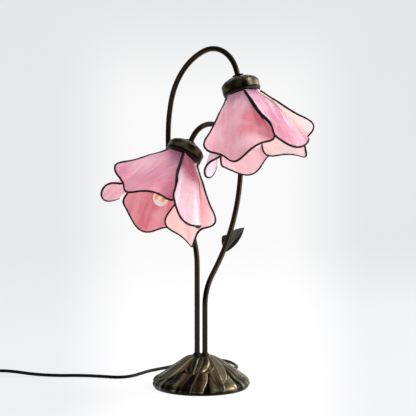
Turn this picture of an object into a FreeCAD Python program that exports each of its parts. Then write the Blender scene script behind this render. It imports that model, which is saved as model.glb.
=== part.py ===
"""Two-light tulip table lamp: a cast leaf base, two bent stems, five-petal glass shades.

Frame: millimetres, +Z up, origin at the middle of the foot, the front of the lamp at -Y.
Every driving dimension is a cell of the sheet "Sizes"; the pieces read it from there.
"""

import FreeCAD, Part
import math
import os
import re

import Sketcher

os.makedirs("parts", exist_ok=True)

Vector = FreeCAD.Vector
Rotation = FreeCAD.Rotation
Placement = FreeCAD.Placement

document = FreeCAD.newDocument("TulipLamp")
sheet = document.addObject("Spreadsheet::Sheet", "Sizes")
ALIASES = []
PIECES = []


# ---------------------------------------------------------------- sizes
def size(alias, value):
    """Put one driving dimension in the sheet."""
    row = len(ALIASES) + 1
    sheet.set("A%d" % row, alias)
    sheet.set("B%d" % row, str(value))
    sheet.setAlias("B%d" % row, alias)
    ALIASES.append(alias)


def size_list(prefix, rows, words):
    """Number the rows of a small table, such as the bends of a stem."""
    for number, row in enumerate(rows, 1):
        for word, value in zip(words, row):
            size("%s_%s_%d" % (prefix, word, number), value)


# cast base
size("foot_radius", 71.5)
size("foot_edge", 4.0)
size("shoulder_radius", 64.0)
size("shoulder_height", 15.0)
size("crown_radius", 14.0)
size("crown_bulge", 2.6)
size("base_height", 46.8)
size("casting_wall", 4.5)
size("relief_height", 1.8)
size("relief_root", 1.2)
size("vein_height", 1.1)
size("vein_width", 1.8)
size("relief_leaf_count", 9)
size("relief_leaf_start", 15.0)
size("relief_leaf_tip", 69.5)
size("relief_leaf_half_width", 15.5)
size("relief_leaf_sweep", 13.0)
size("stem_boss_radius", 6.2)
size("stem_boss_height", 2.2)

# under the base
size("felt_thickness", 1.5)
size("plate_thickness", 1.6)
size("plate_clearance", 0.5)
size("weight_radius", 51.0)
size("weight_height", 9.0)
size("weight_bore", 17.0)
size("post_radius", 4.2)
size("post_circle", 58.0)
size("post_angle", 30.0)
size("screw_radius", 1.9)
size("screw_head_radius", 3.6)
size("screw_head_height", 1.0)
size("screw_length", 8.0)

# stems
size("stem_radius", 4.0)
size("stem_wall", 1.0)
size("stem_turn", 41.0)
size("tall_stem_offset", 5.6)
size("short_stem_offset", 6.0)
size("stem_foot", 31.0)
TALL_BENDS = [(151.0, 114.0, -35.0), (3.0, 196.0, 35.0), (11.0, 219.0, 13.7),
              (0.0, 103.0, 56.7), (0.0, 48.0, 91.0)]
SHORT_BENDS = [(90.5, 76.0, -35.0), (14.5, 276.0, 32.0), (6.0, 61.0, 93.0), (0.0, 40.5, 55.3)]
size_list("tall", TALL_BENDS, ("run", "radius", "turn"))
size_list("short", SHORT_BENDS, ("run", "radius", "turn"))
size("tall_last_run", 7.0)
size("short_last_run", 10.0)
size("stem_fit", 0.3)
size("clamp_length", 22.0)
size("clamp_width", 12.0)
size("clamp_thickness", 2.0)
size("nut_flats", 10.5)
size("nut_height", 5.0)

# shade holder
size("cap_radius", 27.3)
size("cap_band", 12.0)
size("cap_wall", 1.3)
size("cap_height", 24.5)
size("cap_step", 1.6)
size("cap_collar_radius", 7.2)
size("stem_in_cap", 17.5)
size("cap_nut_height", 3.5)
size("cap_nut_flats", 13.0)
size("socket_radius", 11.8)
size("socket_top", 10.0)
size("socket_mouth", 31.0)
size("socket_bore", 7.0)
size("socket_fit", 0.4)
size("shell_wall", 0.4)
size("ring_nut_radius", 16.5)
size("ring_nut_height", 4.0)
size("neck_ring_radius", 26.8)
size("neck_ring_thickness", 1.7)
size("seat_gap", 0.3)

# lamp bulb
size("bulb_radius", 11.5)
size("bulb_reach", 84.5)
size("bulb_neck_radius", 5.8)
size("bulb_shoulder", 12.0)
size("bulb_glass_wall", 0.8)
size("bulb_base_radius", 6.0)
size("bulb_base_length", 15.0)
size("filament_radius", 0.9)
size("filament_circle", 4.6)
size("filament_length", 30.0)
size("filament_stem_radius", 2.4)
size("filament_stem_length", 13.0)
size("filament_disc", 1.2)
size("contact_radius", 1.8)

# glass petals
size("petal_count", 5)
size("petal_length", 118.9)
size("petal_half_width", 50.0)
size("petal_lean", 29.0)
size("petal_circle", 24.0)
size("petal_sink", 4.0)
size("petal_twist_neck", 0.5)
size("petal_twist_hem", 17.5)
size("petal_dish", 10.7)
size("petal_curl", 34.5)
size("glass_thickness", 1.8)
size("came_thickness", 2.8)
size("came_width", 1.7)
size("came_gap", 0.45)
size("upper_spin", 288.7)
size("lower_spin", 23.9)

# leaf on the short stem
size("leaf_length", 50.0)
size("leaf_half_width", 13.5)
size("leaf_thickness", 1.3)
size("leaf_fold", 3.0)
size("leaf_setback", 7.0)
size("leaf_height", 197.0)
size("leaf_lean", 39.0)
size("leaf_back_lean", 17.2)
size("leaf_offset", 4.0)
size("leaf_tuck", 6.0)
size("petiole_radius", 1.6)
size("petiole_gap", 0.8)

# mains lead and its fittings
size("cord_diameter", 5.0)
size("cord_lift", 0.1)
size("gland_angle", 60.0)
size("gland_height", 9.0)
size("gland_flange_radius", 5.6)
size("gland_neck_radius", 4.0)
size("gland_reach", 94.0)
size("gland_bore_fit", 0.15)
size("gland_root", 6.0)
size("gland_flange_gap", 0.5)
size("gland_flange_thickness", 2.0)
size("gland_tip_wall", 0.9)
size("gland_lead", 14.0)
size("coil_radius", 35.8)
size("coil_pitch", 5.6)
size("coil_turns", 7.25)
size("coil_tail", 20.0)
size("coil_across", -391.6)
size("coil_along", 18.0)
size("switch_length", 60.0)
size("switch_width", 25.0)
size("switch_height", 17.0)
size("switch_wall", 1.8)
size("switch_across", -324.0)
size("switch_along", 72.0)
size("rocker_radius", 7.6)
size("rocker_width", 8.0)
size("rocker_throw", 18.0)
size("rocker_fit", 0.5)
size("rocker_pivot", 13.0)
size("rocker_notch", 2.2)
size("rocker_flat", 2.5)
size("rocker_pin_radius", 1.2)
size("rocker_pin_fit", 0.3)
size("rocker_cheek", 2.0)
size("rocker_cheek_length", 6.0)
size("switch_cavity_length", 36.0)
size("switch_cavity_width", 15.5)
size("switch_corner", 9.0)
size("plug_length", 25.0)
size("plug_width", 24.0)
size("plug_thickness", 16.2)
size("plug_relief", 22.0)
size("plug_relief_tip", 1.0)
size("plug_relief_root", 3.2)
size("plug_easing", 2.0)
size("blade_length", 17.0)
size("blade_width", 6.4)
size("blade_thickness", 1.5)
size("blade_spacing", 12.7)

document.recompute()


def value(alias):
    """One size as a number."""
    return float(sheet.get(alias))


def bound(text):
    """An expression in plain aliases, written out for the expression engine."""
    return re.sub(
        r"[a-z][a-z0-9_]*",
        lambda word: "Sizes." + word.group() if word.group() in ALIASES else word.group(),
        text,
    )


def number(text):
    """The value of an expression in plain aliases."""
    return float(sheet.evalExpression(bound(text)))


def bend_table(prefix, count):
    """The bends of a stem as rows of run, radius and turn."""
    return [
        [value("%s_%s_%d" % (prefix, word, row)) for word in ("run", "radius", "turn")]
        for row in range(1, count + 1)
    ]


# ---------------------------------------------------------------- helpers
def piece(item, label, place=None):
    """Name a finished sub-part and put it in its place."""
    item.Label = label
    if place is not None:
        item.Placement = place
    PIECES.append(item)
    return item


def origin_plane(body, role):
    """One of a body's own origin planes."""
    for feature in body.Origin.OriginFeatures:
        if feature.Role == role:
            return feature
    raise ValueError(role)


def plane_sketch(body, name, role):
    """A sketch that lies on one of its body's origin planes."""
    sketch = body.newObject("Sketcher::SketchObject", name)
    sketch.AttachmentSupport = [(origin_plane(body, role), "")]
    sketch.MapMode = "FlatFace"
    return sketch


def pin_point(sketch, edge, across, up):
    """Hold the start of an edge at two distances from the origin, as expressions."""
    for kind, text, axis in (("DistanceX", across, -2), ("DistanceY", up, -1)):
        if number(text) == 0:
            sketch.addConstraint(Sketcher.Constraint("PointOnObject", edge, 1, axis))
            continue
        row = sketch.addConstraint(Sketcher.Constraint(kind, -1, 1, edge, 1, number(text)))
        sketch.setExpression("Constraints[%d]" % row, bound(text))


def outline_sketch(body, name, role, points):
    """A closed outline. A point is (across, up), or (across, up, mid across, mid up)
    where the edge that leaves it is an arc through that middle point."""
    sketch = plane_sketch(body, name, role)
    corners = [Vector(number(p[0]), number(p[1]), 0) for p in points]
    for index, point in enumerate(points):
        start = corners[index]
        end = corners[(index + 1) % len(points)]
        if len(point) == 4:
            middle = Vector(number(point[2]), number(point[3]), 0)
            circle = Part.Arc(start, middle, end)
            sketch.addGeometry(circle, False)
        else:
            sketch.addGeometry(Part.LineSegment(start, end), False)
    flips = []
    for index, point in enumerate(points):
        flips.append(sketch.getPoint(index, 1).distanceToPoint(corners[index]) > 1e-6)
    for index in range(len(points)):
        after = (index + 1) % len(points)
        tail = 1 if flips[index] else 2
        head = 2 if flips[after] else 1
        sketch.addConstraint(Sketcher.Constraint("Coincident", index, tail, after, head))
    for index, point in enumerate(points):
        if flips[index]:
            continue
        pin_point(sketch, index, point[0], point[1])
    return sketch


def turned(label, points, place=None, angle=360.0):
    """A body turned round its own Z axis from an outline in radius and height."""
    body = document.addObject("PartDesign::Body", "Body")
    sketch = outline_sketch(body, "Profile", "XZ_Plane", points)
    turn = body.newObject("PartDesign::Revolution", "Turning")
    turn.Profile = sketch
    turn.ReferenceAxis = (sketch, ["V_Axis"])
    turn.Angle = angle
    if label is None:
        return body
    return piece(body, label, place)


def padded(label, points, height, place=None):
    """A body raised from an outline on its XY plane."""
    body = document.addObject("PartDesign::Body", "Body")
    sketch = outline_sketch(body, "Profile", "XY_Plane", points)
    pad = body.newObject("PartDesign::Pad", "Pad")
    pad.Profile = sketch
    pad.Length = number(height)
    pad.setExpression("Length", bound(height))
    if label is None:
        return body
    return piece(body, label, place)


def cylinder(radius, height, base=Vector(0, 0, 0), axis=Vector(0, 0, 1)):
    """A cylinder whose radius and height are expressions."""
    item = document.addObject("Part::Cylinder", "Cylinder")
    item.Radius = number(radius)
    item.Height = number(height)
    item.setExpression("Radius", bound(radius))
    item.setExpression("Height", bound(height))
    item.Placement = Placement(base, Rotation(Vector(0, 0, 1), axis))
    return item


def block(length, width, height, place):
    """A box centred on its own X and Y, whose sides are expressions."""
    item = document.addObject("Part::Box", "Block")
    for side, text in (("Length", length), ("Width", width), ("Height", height)):
        setattr(item, side, number(text))
        item.setExpression(side, bound(text))
    middle = Vector(-number(length) / 2, -number(width) / 2, 0)
    item.Placement = place.multiply(Placement(middle, Rotation()))
    return item


def cut(base, tools):
    """A base less one or more tools."""
    tool = tools[0]
    if len(tools) > 1:
        tool = document.addObject("Part::MultiFuse", "Tools")
        tool.Shapes = tools
    item = document.addObject("Part::Cut", "Cut")
    item.Base = base
    item.Tool = tool
    return item


def fused(items):
    """Several solids as one."""
    item = document.addObject("Part::MultiFuse", "Fuse")
    item.Shapes = items
    return item


def grouped(items):
    """Several separate solids under one name."""
    item = document.addObject("Part::Compound", "Group")
    item.Links = items
    return item


def shaped(shape):
    """A free form worked out in this file."""
    item = document.addObject("Part::Feature", "Form")
    item.Shape = shape
    return item


def flat_hex(flats, height, place):
    """A hexagon nut blank whose flats and height are expressions."""
    item = document.addObject("Part::Prism", "Hexagon")
    item.Polygon = 6
    item.Circumradius = number(flats) / math.sqrt(3)
    item.setExpression("Circumradius", bound("(%s) / sqrt(3)" % flats))
    item.Height = number(height)
    item.setExpression("Height", bound(height))
    item.Placement = place
    return item


def at(x=0.0, y=0.0, z=0.0, turn=0.0):
    """A placement moved by x, y, z and turned about Z."""
    return Placement(Vector(x, y, z), Rotation(Vector(0, 0, 1), turn))


# ---------------------------------------------------------------- stems
def bend_steps(rows, last_run):
    """The edges of a stem's centre line in its own plane: lines and tangent arcs."""
    steps = []
    spot = Vector(0, 0, 0)
    lean = 0.0
    for run, radius, turn in rows + [[last_run, 0.0, 0.0]]:
        if run > 0:
            end = spot + Vector(math.sin(lean), math.cos(lean), 0) * run
            steps.append(("line", spot, end))
            spot = end
        if radius > 0:
            side = 1 if turn > 0 else -1
            centre = spot + Vector(math.cos(lean), -math.sin(lean), 0) * radius * side
            marks = []
            for part in (0.5, 1.0):
                way = lean + math.radians(turn) * part
                marks.append(centre - Vector(math.cos(way), -math.sin(way), 0) * radius * side)
            steps.append(("arc", spot, marks[0], marks[1]))
            spot = marks[1]
            lean += math.radians(turn)
    return steps, spot, math.degrees(lean)


def stem_path(body, rows, last_run, foot, prefix):
    """The centre line as a sketch whose runs, radii and turns are bound to the sheet."""
    sketch = plane_sketch(body, "Path", "XZ_Plane")
    steps, _, _ = bend_steps(rows, last_run)
    lift = Vector(0, foot, 0)
    for step in steps:
        spots = [spot + lift for spot in step[1:]]
        if step[0] == "line":
            sketch.addGeometry(Part.LineSegment(*spots), False)
        else:
            sketch.addGeometry(Part.Arc(*spots), False)
    ends = []
    for index, step in enumerate(steps):
        first = sketch.getPoint(index, 1).distanceToPoint(step[1] + lift) < 1e-6
        ends.append((1, 2) if first else (2, 1))
    for index in range(len(steps) - 1):
        constraint = Sketcher.Constraint("Tangent", index, ends[index][1], index + 1, ends[index + 1][0])
        sketch.addConstraint(constraint)
    sketch.addConstraint(Sketcher.Constraint("PointOnObject", 0, 1, -2))
    sketch.addConstraint(Sketcher.Constraint("Vertical", 0))
    index = 0
    for row, (run, radius, turn) in enumerate(rows, 1):
        if run > 0:
            length = sketch.addConstraint(Sketcher.Constraint("Distance", index, run))
            sketch.setExpression("Constraints[%d]" % length, bound("%s_run_%d" % (prefix, row)))
            index += 1
        curve = sketch.addConstraint(Sketcher.Constraint("Radius", index, radius))
        sketch.setExpression("Constraints[%d]" % curve, bound("%s_radius_%d" % (prefix, row)))
        index += 1
    return sketch


def bent_tube(label, prefix, rows, last_run, radii, foot, place):
    """A round tube or rod swept along a stem's centre line."""
    body = document.addObject("PartDesign::Body", "Body")
    path = stem_path(body, rows, last_run, foot, prefix)
    ring = plane_sketch(body, "Ring", "XY_Plane")
    ring.AttachmentOffset = Placement(Vector(0, 0, foot), Rotation())
    for text in radii:
        circle = ring.addGeometry(Part.Circle(Vector(0, 0, 0), Vector(0, 0, 1), number(text)), False)
        ring.addConstraint(Sketcher.Constraint("Coincident", circle, 3, -1, 1))
        row = ring.addConstraint(Sketcher.Constraint("Radius", circle, number(text)))
        ring.setExpression("Constraints[%d]" % row, bound(text))
    pipe = body.newObject("PartDesign::AdditivePipe", "Pipe")
    pipe.Profile = ring
    pipe.Spine = path
    return piece(body, label, place)


STEMS = {}


def build_stem(name, rows, side):
    """One bent brass tube from under the base into its shade's cap."""
    table = bend_table(name, len(rows))
    last = value("%s_last_run" % name)
    foot = value("stem_foot")
    _, tip, lean = bend_steps(table, last)
    turn = -value("stem_turn") if side > 0 else 180.0 + value("stem_turn")
    place = at(-side * value("%s_stem_offset" % name), 0, 0, turn)
    STEMS[name] = {
        "table": table,
        "place": place,
        "turn": turn,
        "tip": place.multVec(Vector(tip.x, 0, tip.y + foot)),
        "lean": 180.0 - lean,
    }
    inside = last + value("stem_in_cap")
    bent_tube("%s_stem" % name, name, table, inside, ("stem_radius", "stem_radius - stem_wall"), foot, place)


# ---------------------------------------------------------------- base
def dome_outline(grow, bottom):
    """The dome's outline from its foot to its crown, moved outwards by an expression."""
    return [
        ("foot_radius + (%s)" % grow, bottom),
        ("foot_radius + (%s)" % grow, "felt_thickness + foot_edge",
         "shoulder_radius * 0.27 + foot_radius * 0.73 + 0.9 * (%s)" % grow,
         "shoulder_height * 0.55 + (felt_thickness + foot_edge) * 0.45 + 0.5 * (%s)" % grow),
        ("shoulder_radius + 0.62 * (%s)" % grow, "shoulder_height + 0.78 * (%s)" % grow,
         "(shoulder_radius + crown_radius) / 2 + 0.5 * (%s)" % grow,
         "(shoulder_height + base_height) / 2 + crown_bulge + 0.85 * (%s)" % grow),
        ("crown_radius + 0.2 * (%s)" % grow, "base_height + (%s)" % grow),
    ]


def dome(grow):
    """The dome as a solid body."""
    points = dome_outline(grow, "felt_thickness")
    return turned(None, [("0", "felt_thickness")] + points + [("0", "base_height + (%s)" % grow)])


def leaf_prism(tip, half_width, start, sweep, turn):
    """An upright prism of one cast leaf's plan: narrow at the crown, pointed at the foot."""
    body = document.addObject("PartDesign::Body", "Body")
    middle = "(%s) * 0.45 + (%s) * 0.55" % (start, tip)
    points = [
        (start, "-(%s) * 0.35" % half_width, middle, "-(%s) - (%s) * 0.35" % (half_width, sweep)),
        (tip, "-(%s)" % sweep, middle, "(%s) - (%s) * 0.25" % (half_width, sweep)),
        (start, "(%s) * 0.35" % half_width),
    ]
    sketch = outline_sketch(body, "Plan", "XY_Plane", points)
    pad = body.newObject("PartDesign::Pad", "Pad")
    pad.Profile = sketch
    pad.Length = number("base_height * 1.5")
    pad.setExpression("Length", bound("base_height * 1.5"))
    body.Placement = at(0, 0, 0, turn)
    return body


def common(first, second):
    """What two solids share."""
    item = document.addObject("Part::MultiCommon", "Common")
    item.Shapes = [first, second]
    return item


def raised_leaves():
    """The radiating leaves and their midribs, as layers that follow the dome."""
    count = int(value("relief_leaf_count"))
    leaves = []
    ribs = []
    for index in range(count):
        turn = 360.0 * index / count + 8.0
        leaves.append(leaf_prism("relief_leaf_tip", "relief_leaf_half_width", "relief_leaf_start",
                                 "relief_leaf_sweep", turn))
        ribs.append(leaf_prism("relief_leaf_tip - 4", "vein_width / 2", "relief_leaf_start + 3",
                               "relief_leaf_sweep", turn))
    sheet_layer = cut(dome("relief_height"), [dome("-relief_root")])
    rib_layer = cut(dome("relief_height + vein_height"), [dome("-relief_root")])
    return [common(sheet_layer, fused(leaves)), common(rib_layer, fused(ribs))]


def radial(radius, height, angle):
    """A placement on a ray from the lamp's axis, with its own Z along the ray."""
    way = Vector(math.cos(math.radians(angle)), math.sin(math.radians(angle)), 0)
    return Placement(way * radius + Vector(0, 0, height), Rotation(Vector(0, 0, 1), way))


def build_base():
    """Casting, ballast, cover plate, felt and what clamps the stems."""
    ceiling = number("base_height - casting_wall")
    plate_top = number("felt_thickness + plate_thickness")
    offsets = (-value("tall_stem_offset"), value("short_stem_offset"))
    outside = [dome("0")] + raised_leaves()
    for offset in offsets:
        outside.append(cylinder("stem_boss_radius", "stem_boss_height + casting_wall", Vector(offset, 0, ceiling)))
    shell = cut(fused(outside), [dome("-casting_wall")])
    posts = []
    pilots = []
    for index in range(3):
        ray = radial(value("post_circle"), 0, value("post_angle") + 120.0 * index).Base
        seat = Vector(ray.x, ray.y, plate_top)
        posts.append(cylinder("post_radius", "shoulder_height - felt_thickness", seat))
        pilots.append(cylinder("screw_radius + 0.1", "screw_length", seat))
    holes = list(pilots)
    for offset in offsets:
        bottom = Vector(offset, 0, ceiling - 1)
        holes.append(cylinder("stem_radius + stem_fit", "stem_boss_height + casting_wall + 2", bottom))
    way = radial(number("foot_radius - casting_wall - 8"), value("gland_height"), value("gland_angle"))
    outward = way.Rotation.multVec(Vector(0, 0, 1))
    holes.append(cylinder("gland_neck_radius + seat_gap", "casting_wall + 16", way.Base, outward))
    piece(cut(fused([shell] + posts), holes), "base_casting")

    weight = [
        ("weight_bore", "0"),
        ("weight_radius", "0"),
        ("weight_radius", "weight_height - 1.5"),
        ("weight_radius - 1.5", "weight_height"),
        ("weight_bore", "weight_height"),
    ]
    turned("base_weight", weight, at(0, 0, plate_top))

    plate = cylinder("foot_radius - casting_wall - plate_clearance", "plate_thickness")
    plate.Placement = at(0, 0, value("felt_thickness"))
    plate_holes = []
    felt_holes = []
    screws = []
    for index in range(3):
        ray = radial(value("post_circle"), 0, value("post_angle") + 120.0 * index).Base
        head = Vector(ray.x, ray.y, number("felt_thickness - screw_head_height"))
        shank = Vector(ray.x, ray.y, value("felt_thickness"))
        plate_holes.append(cylinder("screw_radius + seat_gap", "plate_thickness + 2", shank - Vector(0, 0, 1)))
        felt_holes.append(cylinder("screw_head_radius + seat_gap", "felt_thickness + 2", Vector(ray.x, ray.y, -1)))
        screws.append(fused([
            cylinder("screw_head_radius", "screw_head_height", head),
            cylinder("screw_radius", "screw_length", shank),
        ]))
    piece(cut(plate, plate_holes), "base_plate")
    piece(cut(cylinder("foot_radius - 1.5", "felt_thickness"), felt_holes), "base_felt")
    piece(grouped(screws), "plate_screws")

    clamp_seat = at(0, 0, number("base_height - casting_wall - clamp_thickness"))
    clamp = block("clamp_length", "clamp_width", "clamp_thickness", clamp_seat)
    clamp_holes = []
    nuts = []
    for offset in offsets:
        below = Vector(offset, 0, number("base_height - casting_wall - clamp_thickness - 1"))
        clamp_holes.append(cylinder("stem_radius + stem_fit", "clamp_thickness + 2", below))
        seat = number("base_height - casting_wall - clamp_thickness - nut_height")
        blank = flat_hex("nut_flats", "nut_height", at(offset, 0, seat, 30.0))
        bore = cylinder("stem_radius + stem_fit / 2", "nut_height + 2", Vector(offset, 0, seat - 1))
        nuts.append(cut(blank, [bore]))
    piece(cut(clamp, clamp_holes), "stem_clamp")
    piece(grouped(nuts), "stem_nuts")


# ---------------------------------------------------------------- bent sheets
def bent_sheet(outline, mould, thickness, spread, reach):
    """A sheet bent over a mould and cut square to its faces.

    outline holds curves in the sheet's plan; mould gives height and normal at a plan
    point; spread and reach bound the plan, which is straight along its second axis."""
    steps = 6
    across = [spread[0] + (spread[1] - spread[0]) * step / steps for step in range(steps + 1)]
    faces = []
    rims = []
    for offset in (thickness / 2, -thickness / 2):
        rails = []
        for along in reach:
            rail = Part.BSplineCurve()
            spots = [mould(x, along)[0] + mould(x, along)[1] * offset for x in across]
            rail.interpolate(Points=spots, Parameters=across)
            rails.append(rail)
        poles = [[rail.getPole(row + 1) for rail in rails] for row in range(rails[0].NbPoles)]
        surface = Part.BSplineSurface()
        knots = rails[0].getKnots()
        surface.buildFromPolesMultsKnots(
            poles, rails[0].getMultiplicities(), [2, 2], knots, list(reach), False, False, 3, 1
        )
        rim = [curve.toShape(surface) for curve in outline]
        faces.append(Part.Face(surface, Part.Wire(rim)))
        rims.append(rim)
    for upper, lower in zip(*rims):
        faces.append(Part.makeRuledSurface(upper, lower))
    skin = Part.makeCompound(faces)
    skin.sewShape()
    solid = Part.Solid(skin.Shells[0] if skin.Shells else skin)
    if solid.Volume < 0:
        solid.reverse()
    return solid


def plan_curve(points):
    """A smooth curve in a sheet's plan."""
    curve = Part.Geom2d.BSplineCurve2d()
    curve.interpolate([FreeCAD.Base.Vector2d(x, y) for x, y in points])
    return curve


def plan_line(first, second):
    """A straight edge in a sheet's plan."""
    return Part.Geom2d.Line2dSegment(FreeCAD.Base.Vector2d(*first), FreeCAD.Base.Vector2d(*second))


# ---------------------------------------------------------------- petals
# plan of a petal as shares of its half width and its length, from its leading neck
# corner round the hem to its tucked neck corner
PETAL_PLAN = [
    (0.38, 0.014), (0.5, 0.168), (0.62, 0.32), (0.79, 0.488), (0.93, 0.639), (0.97, 0.711),
    (0.92, 0.761), (0.76, 0.786), (0.56, 0.828), (0.38, 0.913), (0.2, 0.98), (0.04, 0.999),
    (-0.2, 0.971), (-0.42, 0.913), (-0.65, 0.837), (-0.84, 0.755), (-0.866, 0.706),
    (-0.796, 0.589), (-0.646, 0.466), (-0.506, 0.348), (-0.36, 0.185), (-0.25, 0.014),
]


def petal_mould(x, y):
    """Point and normal of a petal's middle surface: an S across, twisted along."""
    share = x / value("petal_half_width")
    gain = value("petal_twist_hem") - value("petal_twist_neck")
    slope = value("petal_twist_neck") + gain * y / value("petal_length")
    height = (-value("petal_sink") - slope * share - value("petal_dish") * share ** 2
              + value("petal_curl") * share ** 3)
    lean_x = (-slope - 2 * value("petal_dish") * share + 3 * value("petal_curl") * share ** 2)
    lean_x /= value("petal_half_width")
    lean_y = -gain / value("petal_length") * share
    normal = Vector(-lean_x, -lean_y, 1)
    normal.normalize()
    return Vector(x, y, height), normal


def petal_rim():
    """The petal's outline in plan, neck corner to neck corner."""
    half = value("petal_half_width")
    length = value("petal_length")
    return plan_curve([(x * half, y * length) for x, y in PETAL_PLAN])


def rim_stations(rim, count):
    """Points and tangents along the rim, closer together where it turns."""
    fine = 600
    first, last = rim.FirstParameter, rim.LastParameter
    spots = [rim.value(first + (last - first) * row / fine) for row in range(fine + 1)]
    reach = [0.0]
    for row in range(fine):
        step = spots[row + 1] - spots[row]
        bend = 0.0
        if row:
            before = spots[row] - spots[row - 1]
            bend = abs(math.atan2(before.x * step.y - before.y * step.x, before.x * step.x + before.y * step.y))
        reach.append(reach[-1] + math.hypot(step.x, step.y) + 18.0 * bend)
    stations = []
    for row in range(count + 1):
        want = reach[-1] * (0.012 + 0.976 * row / count)
        near = min(range(fine + 1), key=lambda index: abs(reach[index] - want))
        ahead = spots[min(near + 1, fine)] - spots[max(near - 1, 0)]
        step = math.hypot(ahead.x, ahead.y)
        stations.append((spots[near].x, spots[near].y, ahead.x / step, ahead.y / step))
    return stations


def petal_came(rim):
    """The lead bead that edges a petal, swept round its rim at right angles to the glass."""
    half = value("came_thickness") / 2
    inner = value("came_gap")
    outer = value("came_gap") + value("came_width")
    section = [(inner, -half), (outer, -half * 0.6), (outer, half * 0.6), (inner, half)]
    wires = []
    for x, y, ahead_x, ahead_y in rim_stations(rim, 24):
        spot, normal = petal_mould(x, y)
        onward = petal_mould(x + ahead_x * 0.01, y + ahead_y * 0.01)[0] - spot
        outward = normal.cross(onward)
        outward.normalize()
        if outward.dot(petal_mould(0, value("petal_length") / 2)[0] - spot) > 0:
            outward = outward * -1
        corners = [spot + outward * across + normal * up for across, up in section]
        wires.append(Part.makePolygon(corners + [corners[0]]))
    return Part.makeLoft(wires, True, False, False)


def petal_place(turn):
    """From a petal's own frame to its shade's: z up to the cap, petals below the rim plane."""
    lean = math.radians(value("petal_lean"))
    azimuth = math.radians(turn)
    out = Vector(math.cos(azimuth), math.sin(azimuth), 0)
    side = Vector(math.sin(azimuth), -math.cos(azimuth), 0)
    up = Vector(0, 0, 1)
    down_glass = out * math.sin(lean) - up * math.cos(lean)
    face = out * math.cos(lean) + up * math.sin(lean)
    spot = out * value("petal_circle")
    matrix = FreeCAD.Matrix(
        side.x, down_glass.x, face.x, spot.x,
        side.y, down_glass.y, face.y, spot.y,
        side.z, down_glass.z, face.z, spot.z,
        0, 0, 0, 1,
    )
    return Placement(matrix)


def build_petals(prefix, place, spin):
    """Five petals that overlap like a pinwheel, each with its own bead."""
    rim = petal_rim()
    ends = (rim.value(rim.LastParameter), rim.value(rim.FirstParameter))
    closing = plan_line(*[(end.x, end.y) for end in ends])
    half = value("petal_half_width")
    reach = (-0.1 * value("petal_length"), 1.1 * value("petal_length"))
    glass = bent_sheet([rim, closing], petal_mould, value("glass_thickness"), (-1.04 * half, 1.04 * half), reach)
    came = petal_came(rim)
    count = int(value("petal_count"))
    for index in range(count):
        spot = place.multiply(petal_place(spin + 360.0 * index / count))
        piece(shaped(glass), "%s_petal_%d" % (prefix, index + 1), spot)
        piece(shaped(came), "%s_came_%d" % (prefix, index + 1), spot)


# ---------------------------------------------------------------- shades
def build_holder(prefix, place):
    """Cap, nuts, socket and the ring that the petals hang from, all on the shade's axis."""
    step = "cap_radius - cap_step"
    cap = [
        ("cap_radius", "0"),
        ("cap_radius", "cap_band"),
        (step, "cap_band + 0.8",
         "(%s + cap_collar_radius) / 2 + 0.6" % step, "(cap_band + 0.8 + cap_height - 3) / 2 + 2.2"),
        ("cap_collar_radius", "cap_height - 3"),
        ("cap_collar_radius + 1.3", "cap_height"),
        ("stem_radius + stem_fit", "cap_height"),
        ("stem_radius + stem_fit", "cap_height - 3 - cap_wall"),
        ("cap_collar_radius", "cap_height - 3 - cap_wall",
         "(%s - cap_wall + cap_collar_radius) / 2 + 0.3" % step,
         "(cap_band + 0.8 + cap_height - 3) / 2 + 2.2 - cap_wall"),
        ("%s - cap_wall" % step, "cap_band + 0.8 - cap_wall"),
        ("cap_radius - cap_wall", "cap_band - cap_wall"),
        ("cap_radius - cap_wall", "0"),
    ]
    turned("%s_cap" % prefix, cap, place)

    seat = number("cap_height - 3 - cap_wall - seat_gap - cap_nut_height")
    blank = flat_hex("cap_nut_flats", "cap_nut_height", at(0, 0, seat))
    bore = cylinder("stem_radius + stem_fit / 2", "cap_nut_height + 2", Vector(0, 0, seat - 1))
    piece(cut(blank, [bore]), "%s_cap_nut" % prefix, place)

    socket = [
        ("socket_bore", "-socket_mouth"),
        ("socket_radius", "-socket_mouth"),
        ("socket_radius", "socket_top - 3"),
        ("socket_radius - 3", "socket_top"),
        ("stem_radius + stem_fit", "socket_top"),
        ("stem_radius + stem_fit", "cap_height - stem_in_cap - 1"),
        ("0", "cap_height - stem_in_cap - 1"),
        ("0", "2 - bulb_base_length + 4"),
        ("socket_bore", "2 - bulb_base_length + 4"),
    ]
    turned("%s_socket" % prefix, socket, place)

    shell = [
        ("socket_bore - 0.1 - shell_wall", "2 - socket_mouth"),
        ("socket_bore - 0.1", "2 - socket_mouth"),
        ("socket_bore - 0.1", "1 - bulb_base_length + 4"),
        ("socket_bore - 0.1 - shell_wall", "1 - bulb_base_length + 4"),
    ]
    turned("%s_socket_shell" % prefix, shell, place)

    reach = "socket_mouth - 2 - bulb_base_length - seat_gap - (bulb_base_length - 6)"
    contact = cylinder("contact_radius", reach, Vector(0, 0, number("6 - bulb_base_length") - number(reach)))
    piece(grouped([contact]), "%s_contact" % prefix, place)

    nut_top = number("-seat_gap * 2 - neck_ring_thickness")
    nut = [
        ("socket_radius + socket_fit", "-ring_nut_height"),
        ("ring_nut_radius", "-ring_nut_height"),
        ("ring_nut_radius", "-1"),
        ("ring_nut_radius - 1", "0"),
        ("socket_radius + socket_fit", "0"),
    ]
    turned("%s_ring_nut" % prefix, nut, place.multiply(at(0, 0, nut_top)))

    ring = [
        ("socket_radius + socket_fit", "-seat_gap - neck_ring_thickness"),
        ("neck_ring_radius", "-seat_gap - neck_ring_thickness"),
        ("neck_ring_radius", "-seat_gap"),
        ("socket_radius + socket_fit", "-seat_gap"),
    ]
    turned("%s_neck_ring" % prefix, ring, place)


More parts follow.
